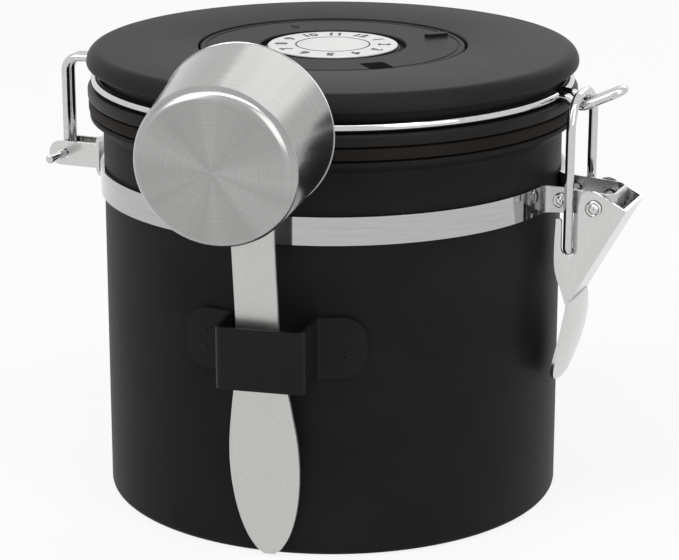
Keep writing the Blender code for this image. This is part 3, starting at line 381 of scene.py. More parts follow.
def put(name, mesh, body, node, slot, *materials, place=None):
    """Adds a mesh as a piece that rides on a body and, where node is named, stands for that node."""
    thing = add_object(name, mesh)
    for one in materials:
        mesh.materials.append(one)
    if place is not None:
        thing.matrix_world = place
    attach(thing, body)
    if node:
        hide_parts(node)
    return thing


def spin_mesh(name, profile, steps=STEPS, angle=SHARP_DEGREES):
    """A profile of (radius, height) points turned round the Z axis."""
    bm = bmesh.new()
    verts = [bm.verts.new((r, 0.0, z)) for r, z in profile]
    edges = [bm.edges.new((verts[i - 1], verts[i])) for i in range(len(verts))]
    edges = [e for e in edges if any(v.co.x > MERGE for v in e.verts)]
    bmesh.ops.spin(
        bm, geom=verts + edges, cent=(0, 0, 0), axis=(0, 0, 1), angle=math.tau, steps=steps, use_merge=True
    )
    bmesh.ops.delete(bm, geom=[e for e in bm.edges if not e.link_faces], context="EDGES")
    return finish_mesh(name, bm, angle)


def put_spun(name, profile, body, node, slot, material, steps=STEPS):
    put(name, spin_mesh(name, profile, steps), body, node, slot, material)


def prism_mesh(name, outline, low, high, axis="Y"):
    """An outline drawn out along the Y or Z axis."""
    bm = bmesh.new()
    if axis == "Y":
        verts = [bm.verts.new((a, low, b)) for a, b in outline]
        step = Vector((0.0, high - low, 0.0))
    else:
        verts = [bm.verts.new((a, b, low)) for a, b in outline]
        step = Vector((0.0, 0.0, high - low))
    grown = bmesh.ops.extrude_face_region(bm, geom=[bm.faces.new(verts)])
    moved = [g for g in grown["geom"] if isinstance(g, bmesh.types.BMVert)]
    bmesh.ops.translate(bm, verts=moved, vec=step)
    return finish_mesh(name, bm)


def combine(mesh, steps):
    """Applies (mesh, operation) Booleans to a mesh and returns the result."""
    base = add_object("combine_base", mesh)
    tools = []
    for other, operation in steps:
        tool = add_object("combine_tool", other)
        tools.append(tool)
        change = base.modifiers.new("combine", "BOOLEAN")
        change.operation = operation
        change.solver = "EXACT"
        change.object = tool
    graph = bpy.context.evaluated_depsgraph_get()
    graph.update()
    result = bpy.data.meshes.new_from_object(base.evaluated_get(graph))
    for thing in [base] + tools:
        bpy.data.objects.remove(thing, do_unlink=True)
    bm = bmesh.new()
    bm.from_mesh(result)
    return finish_mesh(mesh.name, bm)


def soften(thing, width, segments=2, angle=38.0):
    """Rounds the edges that are sharper than an angle in degrees."""
    change = thing.modifiers.new("soft_edges", "BEVEL")
    change.width = width
    change.segments = segments
    change.limit_method = "ANGLE"
    change.angle_limit = math.radians(angle)
    change.use_clamp_overlap = True
    change.harden_normals = True


def bent_path(corners, radii, steps=BEND):
    """A path through corners, with each inner corner rounded to its radius."""
    points = [Vector(corners[0])]
    for i in range(1, len(corners) - 1):
        corner = Vector(corners[i])
        radius = radii[i - 1]
        into = (corner - Vector(corners[i - 1])).normalized()
        out = (Vector(corners[i + 1]) - corner).normalized()
        turn = into.angle(out)
        if radius <= 0.0 or turn < math.radians(1.0):
            points.append(corner)
            continue
        start = corner - into * radius * math.tan(turn / 2)
        centre = corner + (out - into).normalized() * radius / math.cos(turn / 2)
        for step in range(steps + 1):
            a = turn * step / steps
            points.append(centre + (start - centre) * math.cos(a) + into * radius * math.sin(a))
    points.append(Vector(corners[-1]))
    return points


def rounded_end(station, radius, sense):
    """Rings that round a wire's end, from its full section out. sense is 1 at its start, -1 at its end."""
    point, direction, across = station
    rings = []
    for degrees in (0.0, 30.0, 60.0):
        a = math.radians(degrees)
        inset = direction * radius * WIRE_EDGE * (1 - math.sin(a))
        rings.append((point + inset * sense, direction, across, 1 - WIRE_EDGE * (1 - math.cos(a))))
    return rings


def join_rings(bm, rings, closed=False):
    """Faces between neighbouring rings of vertices, and over both ends unless the rings close."""
    pairs = list(zip(rings, rings[1:]))
    if closed:
        pairs.append((rings[-1], rings[0]))
    for one, two in pairs:
        for k in range(len(one)):
            bm.faces.new((one[k - 1], one[k], two[k], two[k - 1]))
    if not closed:
        bm.faces.new(rings[0])
        bm.faces.new(rings[-1][::-1])


def tube_mesh(name, points, radius):
    """A wire with rounded ends, whose rings don't twist."""
    bm = bmesh.new()
    keep = [points[0]]
    for point in points[1:]:
        if (point - keep[-1]).length > radius * WIRE_MIN_STEP:
            keep.append(point)
    last = len(keep) - 1
    directions = [(keep[min(i + 1, last)] - keep[max(i - 1, 0)]).normalized() for i in range(last + 1)]
    side = directions[0].orthogonal().normalized()
    stations = []
    for point, direction in zip(keep, directions):
        side = (side - direction * side.dot(direction)).normalized()
        stations.append((point, direction, side.copy()))
    start = rounded_end(stations[0], radius, 1)[::-1]
    middle = [(*station, 1.0) for station in stations[1:-1]]
    end = rounded_end(stations[-1], radius, -1)
    rings = []
    for point, direction, across, share in start + middle + end:
        other = direction.cross(across)
        ring = []
        for k in range(WIRE_SIDES):
            a = math.tau * k / WIRE_SIDES
            ring.append(bm.verts.new(point + (across * math.cos(a) + other * math.sin(a)) * radius * share))
        rings.append(ring)
    join_rings(bm, rings)
    return finish_mesh(name, bm, WIRE_SHARP_DEGREES)


def strip_mesh(name, path, widths, thickness, across, closed=False, dish=None, columns=2):
    """Sheet along a path. widths has its half width at each point, and dish how far its middle bows."""
    bm = bmesh.new()
    across = Vector(across).normalized()
    shares = [2.0 * k / (columns - 1) - 1.0 for k in range(columns)]
    rings = []
    count = len(path)
    for i, point in enumerate(path):
        before = path[i - 1] if closed or i else path[0]
        after = path[(i + 1) % count] if closed or i < count - 1 else path[-1]
        into = (Vector(point) - Vector(before)).normalized()
        out = (Vector(after) - Vector(point)).normalized()
        along = (into + out).normalized()
        normal = along.cross(across).normalized()
        spread = 1.0 / max(along.dot(out if out.length else into), 0.5)
        near, far = [], []
        for share in shares:
            bow = normal * (dish[i] * (1.0 - share * share) if dish else 0.0)
            middle = Vector(point) + across * share * widths[i] + bow
            near.append(bm.verts.new(middle - normal * thickness / 2 * spread))
            far.append(bm.verts.new(middle + normal * thickness / 2 * spread))
        rings.append(near + far[::-1])
    join_rings(bm, rings, closed)
    return finish_mesh(name, bm)


def cylinder_y(name, radius, half, x, z):
    return prism_mesh(name, arc((x, z), radius, 0.0, 360.0, HOLE_STEPS)[:-1], -half, half)


def curve_through(points, count):
    """Smooth curve through (place, value) points, as count samples."""
    found = []
    last = len(points) - 1
    for k in range(count):
        t = points[0][0] + (points[-1][0] - points[0][0]) * k / (count - 1)
        i = max(j for j in range(last) if points[j][0] <= t + TINY)
        a, b = points[i], points[i + 1]
        before = points[i - 1] if i else a
        after = points[i + 2] if i + 2 <= last else b
        gap = b[0] - a[0]
        slope_a = (b[1] - before[1]) / max(b[0] - before[0], TINY)
        slope_b = (after[1] - a[1]) / max(after[0] - a[0], TINY)
        u = (t - a[0]) / gap
        value = (
            a[1] * (1 + 2 * u) * (1 - u) ** 2 + slope_a * gap * u * (1 - u) ** 2
            + b[1] * u * u * (3 - 2 * u) + slope_b * gap * u * u * (u - 1)
        )
        found.append((t, value))
    return found


# Materials

NOISE_LOW = 0.3
NOISE_HIGH = 0.7
COAT_RELIEF = 0.00004
METAL_RELIEF = 0.00002
DRIFT_SCALE = 45.0
CLOUD_SCALE = 60.0
CLOUD_SHARE = 0.6
TURNED_CLOUD_SCALE = 70.0
TURNED_CLOUD_ROUGH = 0.05
# Scale of the painted reflection wedges round a turned piece's axis
PAINTED_WEDGE_SCALE = 1.7


def add_node(tree, kind, sources=(), operation=None, **values):
    """A node with its first inputs linked to sources, and others set by name, with _ for spaces."""
    made = tree.nodes.new(kind)
    if operation:
        made.operation = operation
    for k, source in enumerate(sources):
        tree.links.new(source, made.inputs[k])
    for key, value in values.items():
        made.inputs[key.replace("_", " ")].default_value = value
    return made


def coordinates(tree, scale=(1.0, 1.0, 1.0)):
    place = add_node(tree, "ShaderNodeTexCoord").outputs["Object"]
    return add_node(tree, "ShaderNodeMapping", [place], Scale=scale).outputs["Vector"]


def spread(tree, source, low, high):
    """Stretches the middle of a noise to run from low to high."""
    ranged = add_node(
        tree, "ShaderNodeMapRange", [source],
        From_Min=NOISE_LOW, From_Max=NOISE_HIGH, To_Min=low, To_Max=high,
    )
    return ranged.outputs["Result"]


def two_tone(tree, source, dark, light):
    ramp = add_node(tree, "ShaderNodeValToRGB", [source])
    for end, position, colour in ((0, NOISE_LOW, dark), (1, NOISE_HIGH, light)):
        ramp.color_ramp.elements[end].position = position
        ramp.color_ramp.elements[end].color = (*colour, 1.0)
    return ramp.outputs["Color"]


def added(tree, one, two):
    return add_node(tree, "ShaderNodeMath", [one, two], "ADD").outputs[0]


def noise_of(tree, scale, vector, detail, roughness=0.5):
    made = add_node(tree, "ShaderNodeTexNoise", [vector], Scale=scale, Detail=detail, Roughness=roughness)
    return made.outputs["Fac"]


def finish_shader(tree, shader, colour, rough, relief, strength, distance):
    """Links a colour, a roughness and a relief of some strength and depth to a shader."""
    made = add_node(tree, "ShaderNodeBump", Strength=strength, Distance=distance)
    tree.links.new(relief, made.inputs["Height"])
    for source, name in ((colour, "Base Color"), (rough, "Roughness"), (made.outputs["Normal"], "Normal")):
        tree.links.new(source, shader.inputs[name])


def new_material(name, metallic=0.0, **values):
    """A material whose further shader inputs are set by name, with _ for spaces."""
    material = bpy.data.materials.new(name)
    material.use_nodes = True
    shader = material.node_tree.nodes["Principled BSDF"]
    shader.inputs["Metallic"].default_value = metallic
    for key, value in values.items():
        shader.inputs[key.replace("_", " ")].default_value = value
    return material, material.node_tree, shader


def coated(name, dark, light, rough_low, rough_high, grain, strength, specular=0.5):
    """Powder coat, moulded plastic or rubber: fine grain, slow colour drift and uneven gloss."""
    material, tree, shader = new_material(name, Specular_IOR_Level=specular)
    place = coordinates(tree)
    drift = noise_of(tree, DRIFT_SCALE, place, detail=4.0)
    fine = noise_of(tree, grain, place, detail=3.0)
    colour = two_tone(tree, drift, dark, light)
    rough = spread(tree, fine, rough_low, rough_high)
    finish_shader(tree, shader, colour, rough, fine, strength, COAT_RELIEF)
    return material


def lined_metal(name, dark, light, rough_low, rough_high, stretch, strength, **sockets):
    """Metal with fine straight lines. stretch is small along the lines and large across them."""
    material, tree, shader = new_material(name, metallic=1.0, **sockets)
    lines = noise_of(tree, 1.0, coordinates(tree, stretch), detail=5.0, roughness=0.65)
    cloud = noise_of(tree, CLOUD_SCALE, coordinates(tree), detail=3.0)
    colour = two_tone(tree, lines, dark, light)
    fine_rough = spread(tree, lines, rough_low, rough_high)
    cloud_rough = spread(tree, cloud, 0.0, (rough_high - rough_low) * CLOUD_SHARE)
    finish_shader(tree, shader, colour, added(tree, fine_rough, cloud_rough), lines, strength, METAL_RELIEF)
    return material


def turned_metal(name, dark, light, rough_low, rough_high, pitch, strength, painted_wedge_tint, **sockets):
    """Metal with fine rings round the piece's own Z axis, as spun or polished on a lathe.

    The wedge tint is that of the darkest of its broad wedges, which run out from the axis: painted
    reflection, sectors of darker colour in place of the bright and dark sectors that spun metal mirrors.
    """
    material, tree, shader = new_material(name, metallic=1.0, **sockets)
    place = add_node(tree, "ShaderNodeTexCoord").outputs["Object"]
    parts = add_node(tree, "ShaderNodeSeparateXYZ", [place]).outputs
    flat = add_node(tree, "ShaderNodeCombineXYZ", [parts["X"], parts["Y"]]).outputs[0]
    length = add_node(tree, "ShaderNodeVectorMath", [flat], "LENGTH").outputs["Value"]
    profile = add_node(tree, "ShaderNodeCombineXYZ", [length, parts["Z"]]).outputs[0]
    rings = noise_of(tree, pitch, profile, detail=5.0, roughness=0.7)
    cloud = noise_of(tree, TURNED_CLOUD_SCALE, place, detail=3.0)
    around = add_node(tree, "ShaderNodeVectorMath", [flat], "NORMALIZE").outputs[0]
    # Painted reflection: a slow noise round the axis darkens broad wedges of the colour, standing in for
    # the sectors that spun metal mirrors.
    painted_wedges = noise_of(tree, PAINTED_WEDGE_SCALE, around, detail=2.0)
    tint = add_node(tree, "ShaderNodeVectorMath", [two_tone(tree, rings, dark, light)], "SCALE")
    tree.links.new(spread(tree, painted_wedges, painted_wedge_tint, 1.0), tint.inputs["Scale"])
    tangent = add_node(tree, "ShaderNodeTangent")
    tangent.direction_type = "RADIAL"
    tangent.axis = "Z"
    tree.links.new(tangent.outputs[0], shader.inputs["Tangent"])
    rough = added(
        tree, spread(tree, rings, rough_low, rough_high), spread(tree, cloud, 0.0, TURNED_CLOUD_ROUGH)
    )
    finish_shader(tree, shader, tint.outputs[0], rough, rings, strength, METAL_RELIEF)
    return material


def tone(value, blue=None):
    return (value, value, value if blue is None else blue)


# Coats: darkest and lightest colour, lowest and highest roughness, grain and its strength
powder_black = coated(
    "powder_black", tone(0.0110, 0.0114), tone(0.0148, 0.0152), 0.42, 0.52, 2600.0, 0.10, specular=0.05
)
strap_black = coated(
    "strap_black", tone(0.0085, 0.0087), tone(0.0118, 0.0120), 0.30, 0.38, 2600.0, 0.05, specular=0.10
)
plastic_black = coated(
    "plastic_black", tone(0.0200, 0.0192), tone(0.0255, 0.0246), 0.33, 0.41, 3200.0, 0.06, specular=0.02
)
dial_black = coated(
    "dial_black", tone(0.0180, 0.0178), tone(0.0230, 0.0228), 0.33, 0.41, 3200.0, 0.06, specular=0.02
)
flange_black = coated("flange_black", tone(0.012), tone(0.017), 0.34, 0.44, 3000.0, 0.08, specular=0.08)
gasket_rubber = coated(
    "gasket_rubber", (0.0125, 0.0100, 0.0085), (0.0200, 0.0160, 0.0135), 0.50, 0.62, 1500.0, 0.20,
    specular=0.05,
)
card_white = coated("card_white", tone(0.72, 0.70), tone(0.78, 0.76), 0.45, 0.55, 2500.0, 0.05)
inner_white = coated("inner_white", tone(0.66, 0.64), tone(0.74, 0.72), 0.38, 0.5, 2000.0, 0.06)
silicone = coated("silicone", tone(0.55, 0.52), tone(0.62, 0.60), 0.35, 0.45, 1200.0, 0.08)
ink_black = coated("ink_black", tone(0.010), tone(0.016), 0.45, 0.6, 3000.0, 0.04)

# Metals: the same, with the stretch of their lines or the pitch of their rings for the grain
wire_chrome = lined_metal("wire_chrome", tone(0.52), tone(0.60), 0.04, 0.08, (900, 900, 900), 0.02)
sheet_bright = lined_metal(
    "sheet_bright", tone(0.56, 0.55), tone(0.64, 0.63), 0.12, 0.20, (5000, 5000, 160), 0.05
)
band_bright = lined_metal("band_bright", tone(0.40), tone(0.48), 0.03, 0.06, (60, 60, 5000), 0.003)
lug_satin = lined_metal("lug_satin", tone(0.46), tone(0.54), 0.20, 0.28, (60, 60, 4000), 0.02)
handle_steel = lined_metal(
    "handle_steel", tone(0.50, 0.485), tone(0.60, 0.585), 0.36, 0.46, (5200, 5200, 110), 0.12,
    Anisotropic=0.4,
)
inner_steel = lined_metal(
    "inner_steel", tone(0.74, 0.73), tone(0.84, 0.83), 0.30, 0.42, (60, 60, 4000), 0.06
)
mesh_steel = lined_metal("mesh_steel", tone(0.35), tone(0.65, 0.64), 0.3, 0.45, (3000, 3000, 3000), 0.4)
# The turned metals carry painted reflection: wedges of darker colour that run out from the axis.
cup_steel = turned_metal(
    "cup_steel", tone(0.34, 0.335), tone(0.46, 0.45), 0.12, 0.20, 5200.0, 0.05, painted_wedge_tint=0.80,
    Anisotropic=0.85,
)
plate_steel = turned_metal(
    "plate_steel", tone(0.66, 0.65), tone(0.76, 0.75), 0.38, 0.46, 5200.0, 0.06, painted_wedge_tint=0.95,
    Metallic=0.3, Anisotropic=0.2,
)


# Body and neck

def is_bare(face):
    """Whether a face of the body is on its inside, below the rim, where the coat stops."""
    centre, normal = face.center, face.normal
    if not BODY_WALL / 2 < centre.z < LIP_TOP - BODY_WALL / 2:
        return False
    inward = centre.x * normal.x + centre.y * normal.y < -0.000001
    on_wall = inward and math.hypot(centre.x, centre.y) < FLARE_R - BODY_WALL * 0.8
    on_base = BARE_FROM < centre.z < FOOT_R * 2 and normal.z > BARE_SLOPE
    return on_wall or on_base


def make_body():
    wall, foot = BODY_WALL, FOOT_R
    inner = BODY_R - wall
    g_in, g_out, g_d = GROOVE_R - GROOVE_W / 2, GROOVE_R + GROOVE_W / 2, GROOVE_D
    outside = [(0.0, 0.0), (g_in, 0.0), (g_in + g_d, g_d), (g_out - g_d, g_d), (g_out, 0.0)]
    outside += arc((BODY_R - foot, foot), foot, -90.0, 0.0)
    corners = [(BODY_R, 0, NECK_Z / 2), (BODY_R, 0, NECK_Z), (FLARE_R, 0, FLARE_TOP)]
    corners += [(FLARE_R, 0, LIP_TOP - wall)]
    neck = bent_path(corners, [NECK_BEND, FLARE_BEND], steps=6)
    outside += [(point.x, point.z) for point in neck[1:-1]]
    outside += arc((FLARE_R - wall / 2, LIP_TOP - wall / 2), wall / 2, 0.0, 180.0, steps=8)
    inside = [(FLARE_R - wall, FLARE_TOP + wall / 2), (inner, NECK_Z + wall / 2)]
    inside += arc((BODY_R - foot, foot), foot - wall, 0.0, -90.0, steps=5)
    inside += [(g_out, wall), (g_out - g_d, wall + g_d), (g_in + g_d, wall + g_d)]
    inside += [(g_in, wall), (0.0, wall)]
    mesh = spin_mesh("body_shell", outside + inside)
    put("body_shell", mesh, "canister", "canister_body", "black_powder_coat", powder_black, inner_steel)
    for face in mesh.polygons:
        face.material_index = 1 if is_bare(face) else 0


def make_band():
    """The strap: round the neck, then out as two lugs that an end closes."""
    lug_end = FULCRUM_X + LUG_REACH - BAND_T / 2
    leave = math.asin((LUG_Y + LUG_BEND) / (BAND_MID + LUG_BEND))
    bend_x = (BAND_MID + LUG_BEND) * math.cos(leave)
    half = []
    for i in range(BAND_STEPS + 1):
        a = leave + (math.pi - leave) * (1.0 - i / BAND_STEPS)
        half.append((BAND_MID * math.cos(a), BAND_MID * math.sin(a)))
    start = 180.0 + math.degrees(leave)
    half += arc((bend_x, LUG_Y + LUG_BEND), LUG_BEND, start, 270.0)[1:]
    for k in range(1, LUG_STEPS):
        half.append((bend_x + (lug_end - LUG_END_BEND - bend_x) * k / LUG_STEPS, LUG_Y))
    half += arc((lug_end - LUG_END_BEND, LUG_Y - LUG_END_BEND), LUG_END_BEND, 90.0, 0.0)
    other = [(x, -y) for x, y in reversed(half)]
    path = [(x, y, BAND_Z) for x, y in half + other[:-1]]
    widths = []
    for point in path:
        share = min(max((point[0] - BODY_R) / (lug_end - BODY_R), 0.0), 1.0)
        widths.append((BAND_H + (LUG_END_H - BAND_H) * share) / 2)
    mesh = strip_mesh("neck_strap", path, widths, BAND_T, (0, 0, 1), closed=True)
    hole = PIVOT_R + GAP
    reach = LUG_OUT + OVERCUT
    mesh = combine(mesh, [
        (cylinder_y("hole_a", hole, reach, FULCRUM_X, FULCRUM_Z), "DIFFERENCE"),
        (cylinder_y("hole_b", hole, reach, TIE_X, BAND_Z), "DIFFERENCE"),
    ])
    band = put("neck_strap", mesh, "canister", "neck_band", "polished_steel", band_bright, lug_satin)
    soften(band, STRIP_EDGE)
    for face in mesh.polygons:
        face.material_index = 1 if face.center.x > BAND_MID * math.cos(leave) else 0


def make_rivet(name, node_name, x, z, shaft, head, span):
    """Rivet with a raised ring and a dimpled dome at each end."""
    top = [(head * wide, span + HEAD_H * high) for wide, high in HEAD_SHAPE]
    bottom = [(r, -place) for r, place in reversed(top)]
    profile = bottom + [(shaft, -span), (shaft, span)] + top
    mesh = spin_mesh(name, profile, steps=56, angle=RIVET_SHARP_DEGREES)
    mesh.transform(Matrix.Rotation(math.radians(90.0), 4, "X"))
    mesh.transform(Matrix.Translation((x, 0.0, z)))
    put(name, mesh, "canister", node_name, "polished_steel", sheet_bright)


def make_bracket():
    """The hinge's saddle, bent from one strip, with an ear at each side of it."""
    half = SADDLE_H / 2
    inner = -(BODY_R + GAP + SADDLE_BEND)
    outer = -(BAND_IN + BAND_T + GAP + SADDLE_REACH)
    top = HINGE_Z + half - SADDLE_T / 2
    low = HINGE_Z - half + SADDLE_T / 2
    corners = [(inner, 0, top), (outer, 0, top), (outer, 0, low), (inner, 0, low)]
    path = bent_path(corners, [SADDLE_BEND, SADDLE_BEND])
    ear_out = EAR_Y + EAR_T / 2
    mesh = strip_mesh("hinge_plate", path, [ear_out] * len(path), SADDLE_T, (0, 1, 0))
    ear = EAR_H / 2
    outline = [(outer, HINGE_Z - ear), (outer, HINGE_Z + ear)]
    outline += arc((HINGE_X - EAR_END + ear, HINGE_Z), ear, 90.0, 270.0, steps=28)
    steps = []
    for side in (-1, 1):
        low_y, high_y = sorted((side * (EAR_Y - EAR_T / 2), side * ear_out))
        steps.append((prism_mesh("ear", outline, low_y, high_y), "UNION"))
    pin_hole = cylinder_y("pin_hole", WIRE_R + GAP, ear_out + OVERCUT, HINGE_X, HINGE_Z)
    steps.append((pin_hole, "DIFFERENCE"))
    mesh = combine(mesh, steps)
    plate = put("hinge_plate", mesh, "canister", "hinge_bracket", "polished_steel", sheet_bright)
    soften(plate, SHEET_EDGE)


# Lid

def make_lid():
    wall, well, seat = COVER_WALL, WELL_R, LID_NECK_R + GAP
    profile = [(STEM_HOLE, DIAL_FLOOR), (well, DIAL_FLOOR), (well, LID_Z - CORNER)]
    profile += arc((well + CORNER, LID_Z - CORNER), CORNER, 180.0, 90.0, steps=5)[1:]
    profile += arc((LID_R - COVER_ROUND, LID_Z - COVER_ROUND), COVER_ROUND, 90.0, 0.0, steps=18)
    profile += arc((LID_R - FOOT_ROUND, COVER_LOW + FOOT_ROUND), FOOT_ROUND, 0.0, -90.0, steps=8)
    profile += [(seat, COVER_LOW), (seat, LID_Z - wall), (well + wall, LID_Z - wall)]
    profile += [(well + wall, WELL_UNDER), (STEM_HOLE, WELL_UNDER)]
    put_spun("cover_shell", profile, "lid", "lid_cover", "black_plastic", plastic_black)

    flange = LID_R - FLANGE_INSET
    hole = VALVE_HOLE_R + GAP
    floor_low = FLANGE_LOW - SHELL_T
    neck_top = LID_Z - wall - GAP
    spigot_low = FLANGE_LOW - SPIGOT_D
    spigot_in = SPIGOT_R - SHELL_T
    profile = [(hole, floor_low), (spigot_in, floor_low), (spigot_in, spigot_low + SHELL_EDGE)]
    profile += [(spigot_in + SHELL_EDGE, spigot_low), (SPIGOT_R - SHELL_EDGE, spigot_low)]
    profile += [(SPIGOT_R, spigot_low + SHELL_EDGE), (SPIGOT_R, FLANGE_LOW)]
    profile += arc((flange - FLANGE_EDGE, FLANGE_LOW + FLANGE_EDGE), FLANGE_EDGE, -90.0, 0.0, steps=6)
    profile += arc((flange - FLANGE_EDGE, FLANGE_TOP - FLANGE_EDGE), FLANGE_EDGE, 0.0, 90.0, steps=6)
    profile += [(LID_NECK_R + SHELL_EDGE, FLANGE_TOP), (LID_NECK_R, FLANGE_TOP + SHELL_EDGE)]
    profile += [(LID_NECK_R, neck_top), (LID_NECK_R - SHELL_T, neck_top)]
    profile += [(LID_NECK_R - SHELL_T, FLANGE_LOW), (hole, FLANGE_LOW)]
    put_spun("flange_shell", profile, "lid", "lid_lower_shell", "black_plastic", flange_black)

    outer = LID_R - GASKET_INSET
    soft = GASKET_EDGE
    profile = [(outer - GASKET_W, GASKET_LOW)]
    profile += arc((outer - soft, GASKET_LOW + soft), soft, -90.0, 0.0, steps=8)
    profile += arc((outer - soft, GASKET_TOP - soft), soft, 0.0, 90.0, steps=8)
    profile += [(outer - GASKET_W, GASKET_TOP)]
    put_spun("seal_ring", profile, "lid", "lid_gasket", "brown_rubber", gasket_rubber)


# Dial

def radial_outline(angle, inner, outer, width, corner=None):
    """Outline of a slot that runs out from the axis. Without corner its ends are round."""
    half = width / 2
    if corner is None:
        points = arc((outer - half, 0.0), half, -90.0, 90.0, steps=12)
        points += arc((inner + half, 0.0), half, 90.0, 270.0, steps=12)
    else:
        points = []
        for x, y, start in ((outer, half, 0), (inner, half, 90), (inner, -half, 180), (outer, -half, 270)):
            cx = x - corner if x == outer else x + corner
            cy = y - corner if y > 0 else y + corner
            points += arc((cx, cy), corner, start, start + 90, steps=5)
    turn = Matrix.Rotation(angle, 2)
    return [tuple(turn @ Vector(point)) for point in points]


def lettering(name, count, radius, height, first, body):
    """Raised numerals from 1 to count, clockwise round the canister's axis, with their tops outwards."""
    bm = bmesh.new()
    graph = bpy.context.evaluated_depsgraph_get()
    for i in range(count):
        curve = bpy.data.curves.new("numeral", "FONT")
        curve.body = str(i + 1)
        curve.size = TEXT_SIZE
        curve.align_x = "CENTER"
        curve.align_y = "CENTER"
        curve.resolution_u = 3
        curve.extrude = TEXT_T
        curve.offset = TEXT_SIZE * TEXT_BOLD
        thing = add_object("numeral", curve)
        graph.update()
        mesh = bpy.data.meshes.new_from_object(thing.evaluated_get(graph))
        a = first - math.tau / count * i
        place = Matrix.Translation((radius * math.cos(a), radius * math.sin(a), height + TEXT_T))
        mesh.transform(place @ Matrix.Rotation(a - math.pi / 2, 4, "Z"))
        bm.from_mesh(mesh)
        bpy.data.meshes.remove(mesh)
        bpy.data.objects.remove(thing, do_unlink=True)
    mesh = bpy.data.meshes.new(name)
    bm.to_mesh(mesh)
    bm.free()
    put(name, mesh, body, None, "black_plastic", ink_black)


def ring_profile(inner, outer, low, high):
    return [(inner, low), (outer, low), (outer, high), (inner, high)]


def make_dial():
    profile = [(STEM_HOLE, DIAL_LOW), (DIAL_R, DIAL_LOW)]
    profile += [(DIAL_R, DIAL_TOP - DIAL_CHAMFER), (DIAL_R - DIAL_CHAMFER, DIAL_TOP)]
    profile += [(DIAL_R - inset, DIAL_TOP - depth) for inset, depth in EDGE_GROOVE]
    profile += [(POCKET_R + DIAL_CHAMFER, DIAL_TOP), (POCKET_R, DIAL_TOP - DIAL_CHAMFER)]
    profile += [(POCKET_R, POCKET_Z), (STEM_HOLE, POCKET_Z)]
    mesh = spin_mesh("dial_plate", profile)
    window = radial_outline(WINDOW_A, WINDOW_IN, WINDOW_OUT, WINDOW_W, WINDOW_CORNER)
    steps = [(prism_mesh("window", window, DIAL_LOW - OVERCUT, DIAL_TOP + OVERCUT, "Z"), "DIFFERENCE")]
    for turn in (90.0, 270.0):
        grip = radial_outline(WINDOW_A + math.radians(turn), GRIP_IN, GRIP_OUT, GRIP_W)
        steps.append((prism_mesh("grip", grip, POCKET_Z, DIAL_TOP + GRIP_H, "Z"), "UNION"))
    mesh = combine(mesh, steps)
    dial = put("dial_plate", mesh, "date_dial", "dial_disc", "black_plastic", dial_black)
    soften(dial, PRESSED_EDGE, segments=3, angle=50.0)

    turn = Matrix.Rotation(WINDOW_A + math.pi, 2)
    arrow = [tuple(turn @ Vector(point)) for point in ARROW_SHAPE]
    mark = prism_mesh("dial_arrow", arrow, DIAL_TOP - ARROW_SINK, DIAL_TOP + ARROW_RISE, "Z")
    put("dial_arrow", mark, "date_dial", None, "black_plastic", plastic_black)

    low = DIAL_FLOOR + GAP
    high = low + DAY_T
    profile = ring_profile(DAY_IN, DAY_OUT, low, high)
    put_spun("day_card", profile, "lid", "day_ring", "white_plastic", card_white, CARD_STEPS)
    first = WINDOW_A + math.tau * (SHOWN_DAY - 1) / DAYS
    lettering("day_numerals", DAYS, DAY_TEXT_R, high, first, "lid")

    stem_end = WELL_UNDER - RETAINER_T - 2 * GAP
    profile = [(0.0, stem_end), (STEM_R, stem_end), (STEM_R, HUB_LOW), (HUB_R, HUB_LOW)]
    profile += [(HUB_R, HUB_TOP - HUB_CHAMFER), (HUB_R - HUB_CHAMFER, HUB_TOP), (0.0, HUB_TOP)]
    put_spun("month_knob", profile, "month_dial", "month_hub", "black_plastic", dial_black, CARD_STEPS)
    profile = [(0.0, PLATE_LOW), (PLATE_R, PLATE_LOW), (PLATE_R, PLATE_TOP - PLATE_CHAMFER)]
    profile += [(PLATE_R - PLATE_CHAMFER, PLATE_TOP), (0.0, PLATE_TOP)]
    put_spun("month_disc", profile, "month_dial", "month_plate", "brushed_steel", plate_steel, PLATE_STEPS)
    lettering("month_numerals", MONTHS, MONTH_TEXT_R, PLATE_TOP, MONTH_FIRST_A, "month_dial")
    low, high = PLATE_TOP - LINE_SINK, PLATE_TOP + LINE_RISE
    profile = ring_profile(LINE_R - LINE_HALF, LINE_R + LINE_HALF, low, high)
    put_spun("month_line", profile, "month_dial", None, "black_plastic", ink_black, PLATE_STEPS)


# Bail, link and lever

def with_mirror(half):
    """A path that goes on as its own mirror image on the other side of the XZ plane."""
    return half + [(x, -y, z) for x, y, z in reversed(half)]


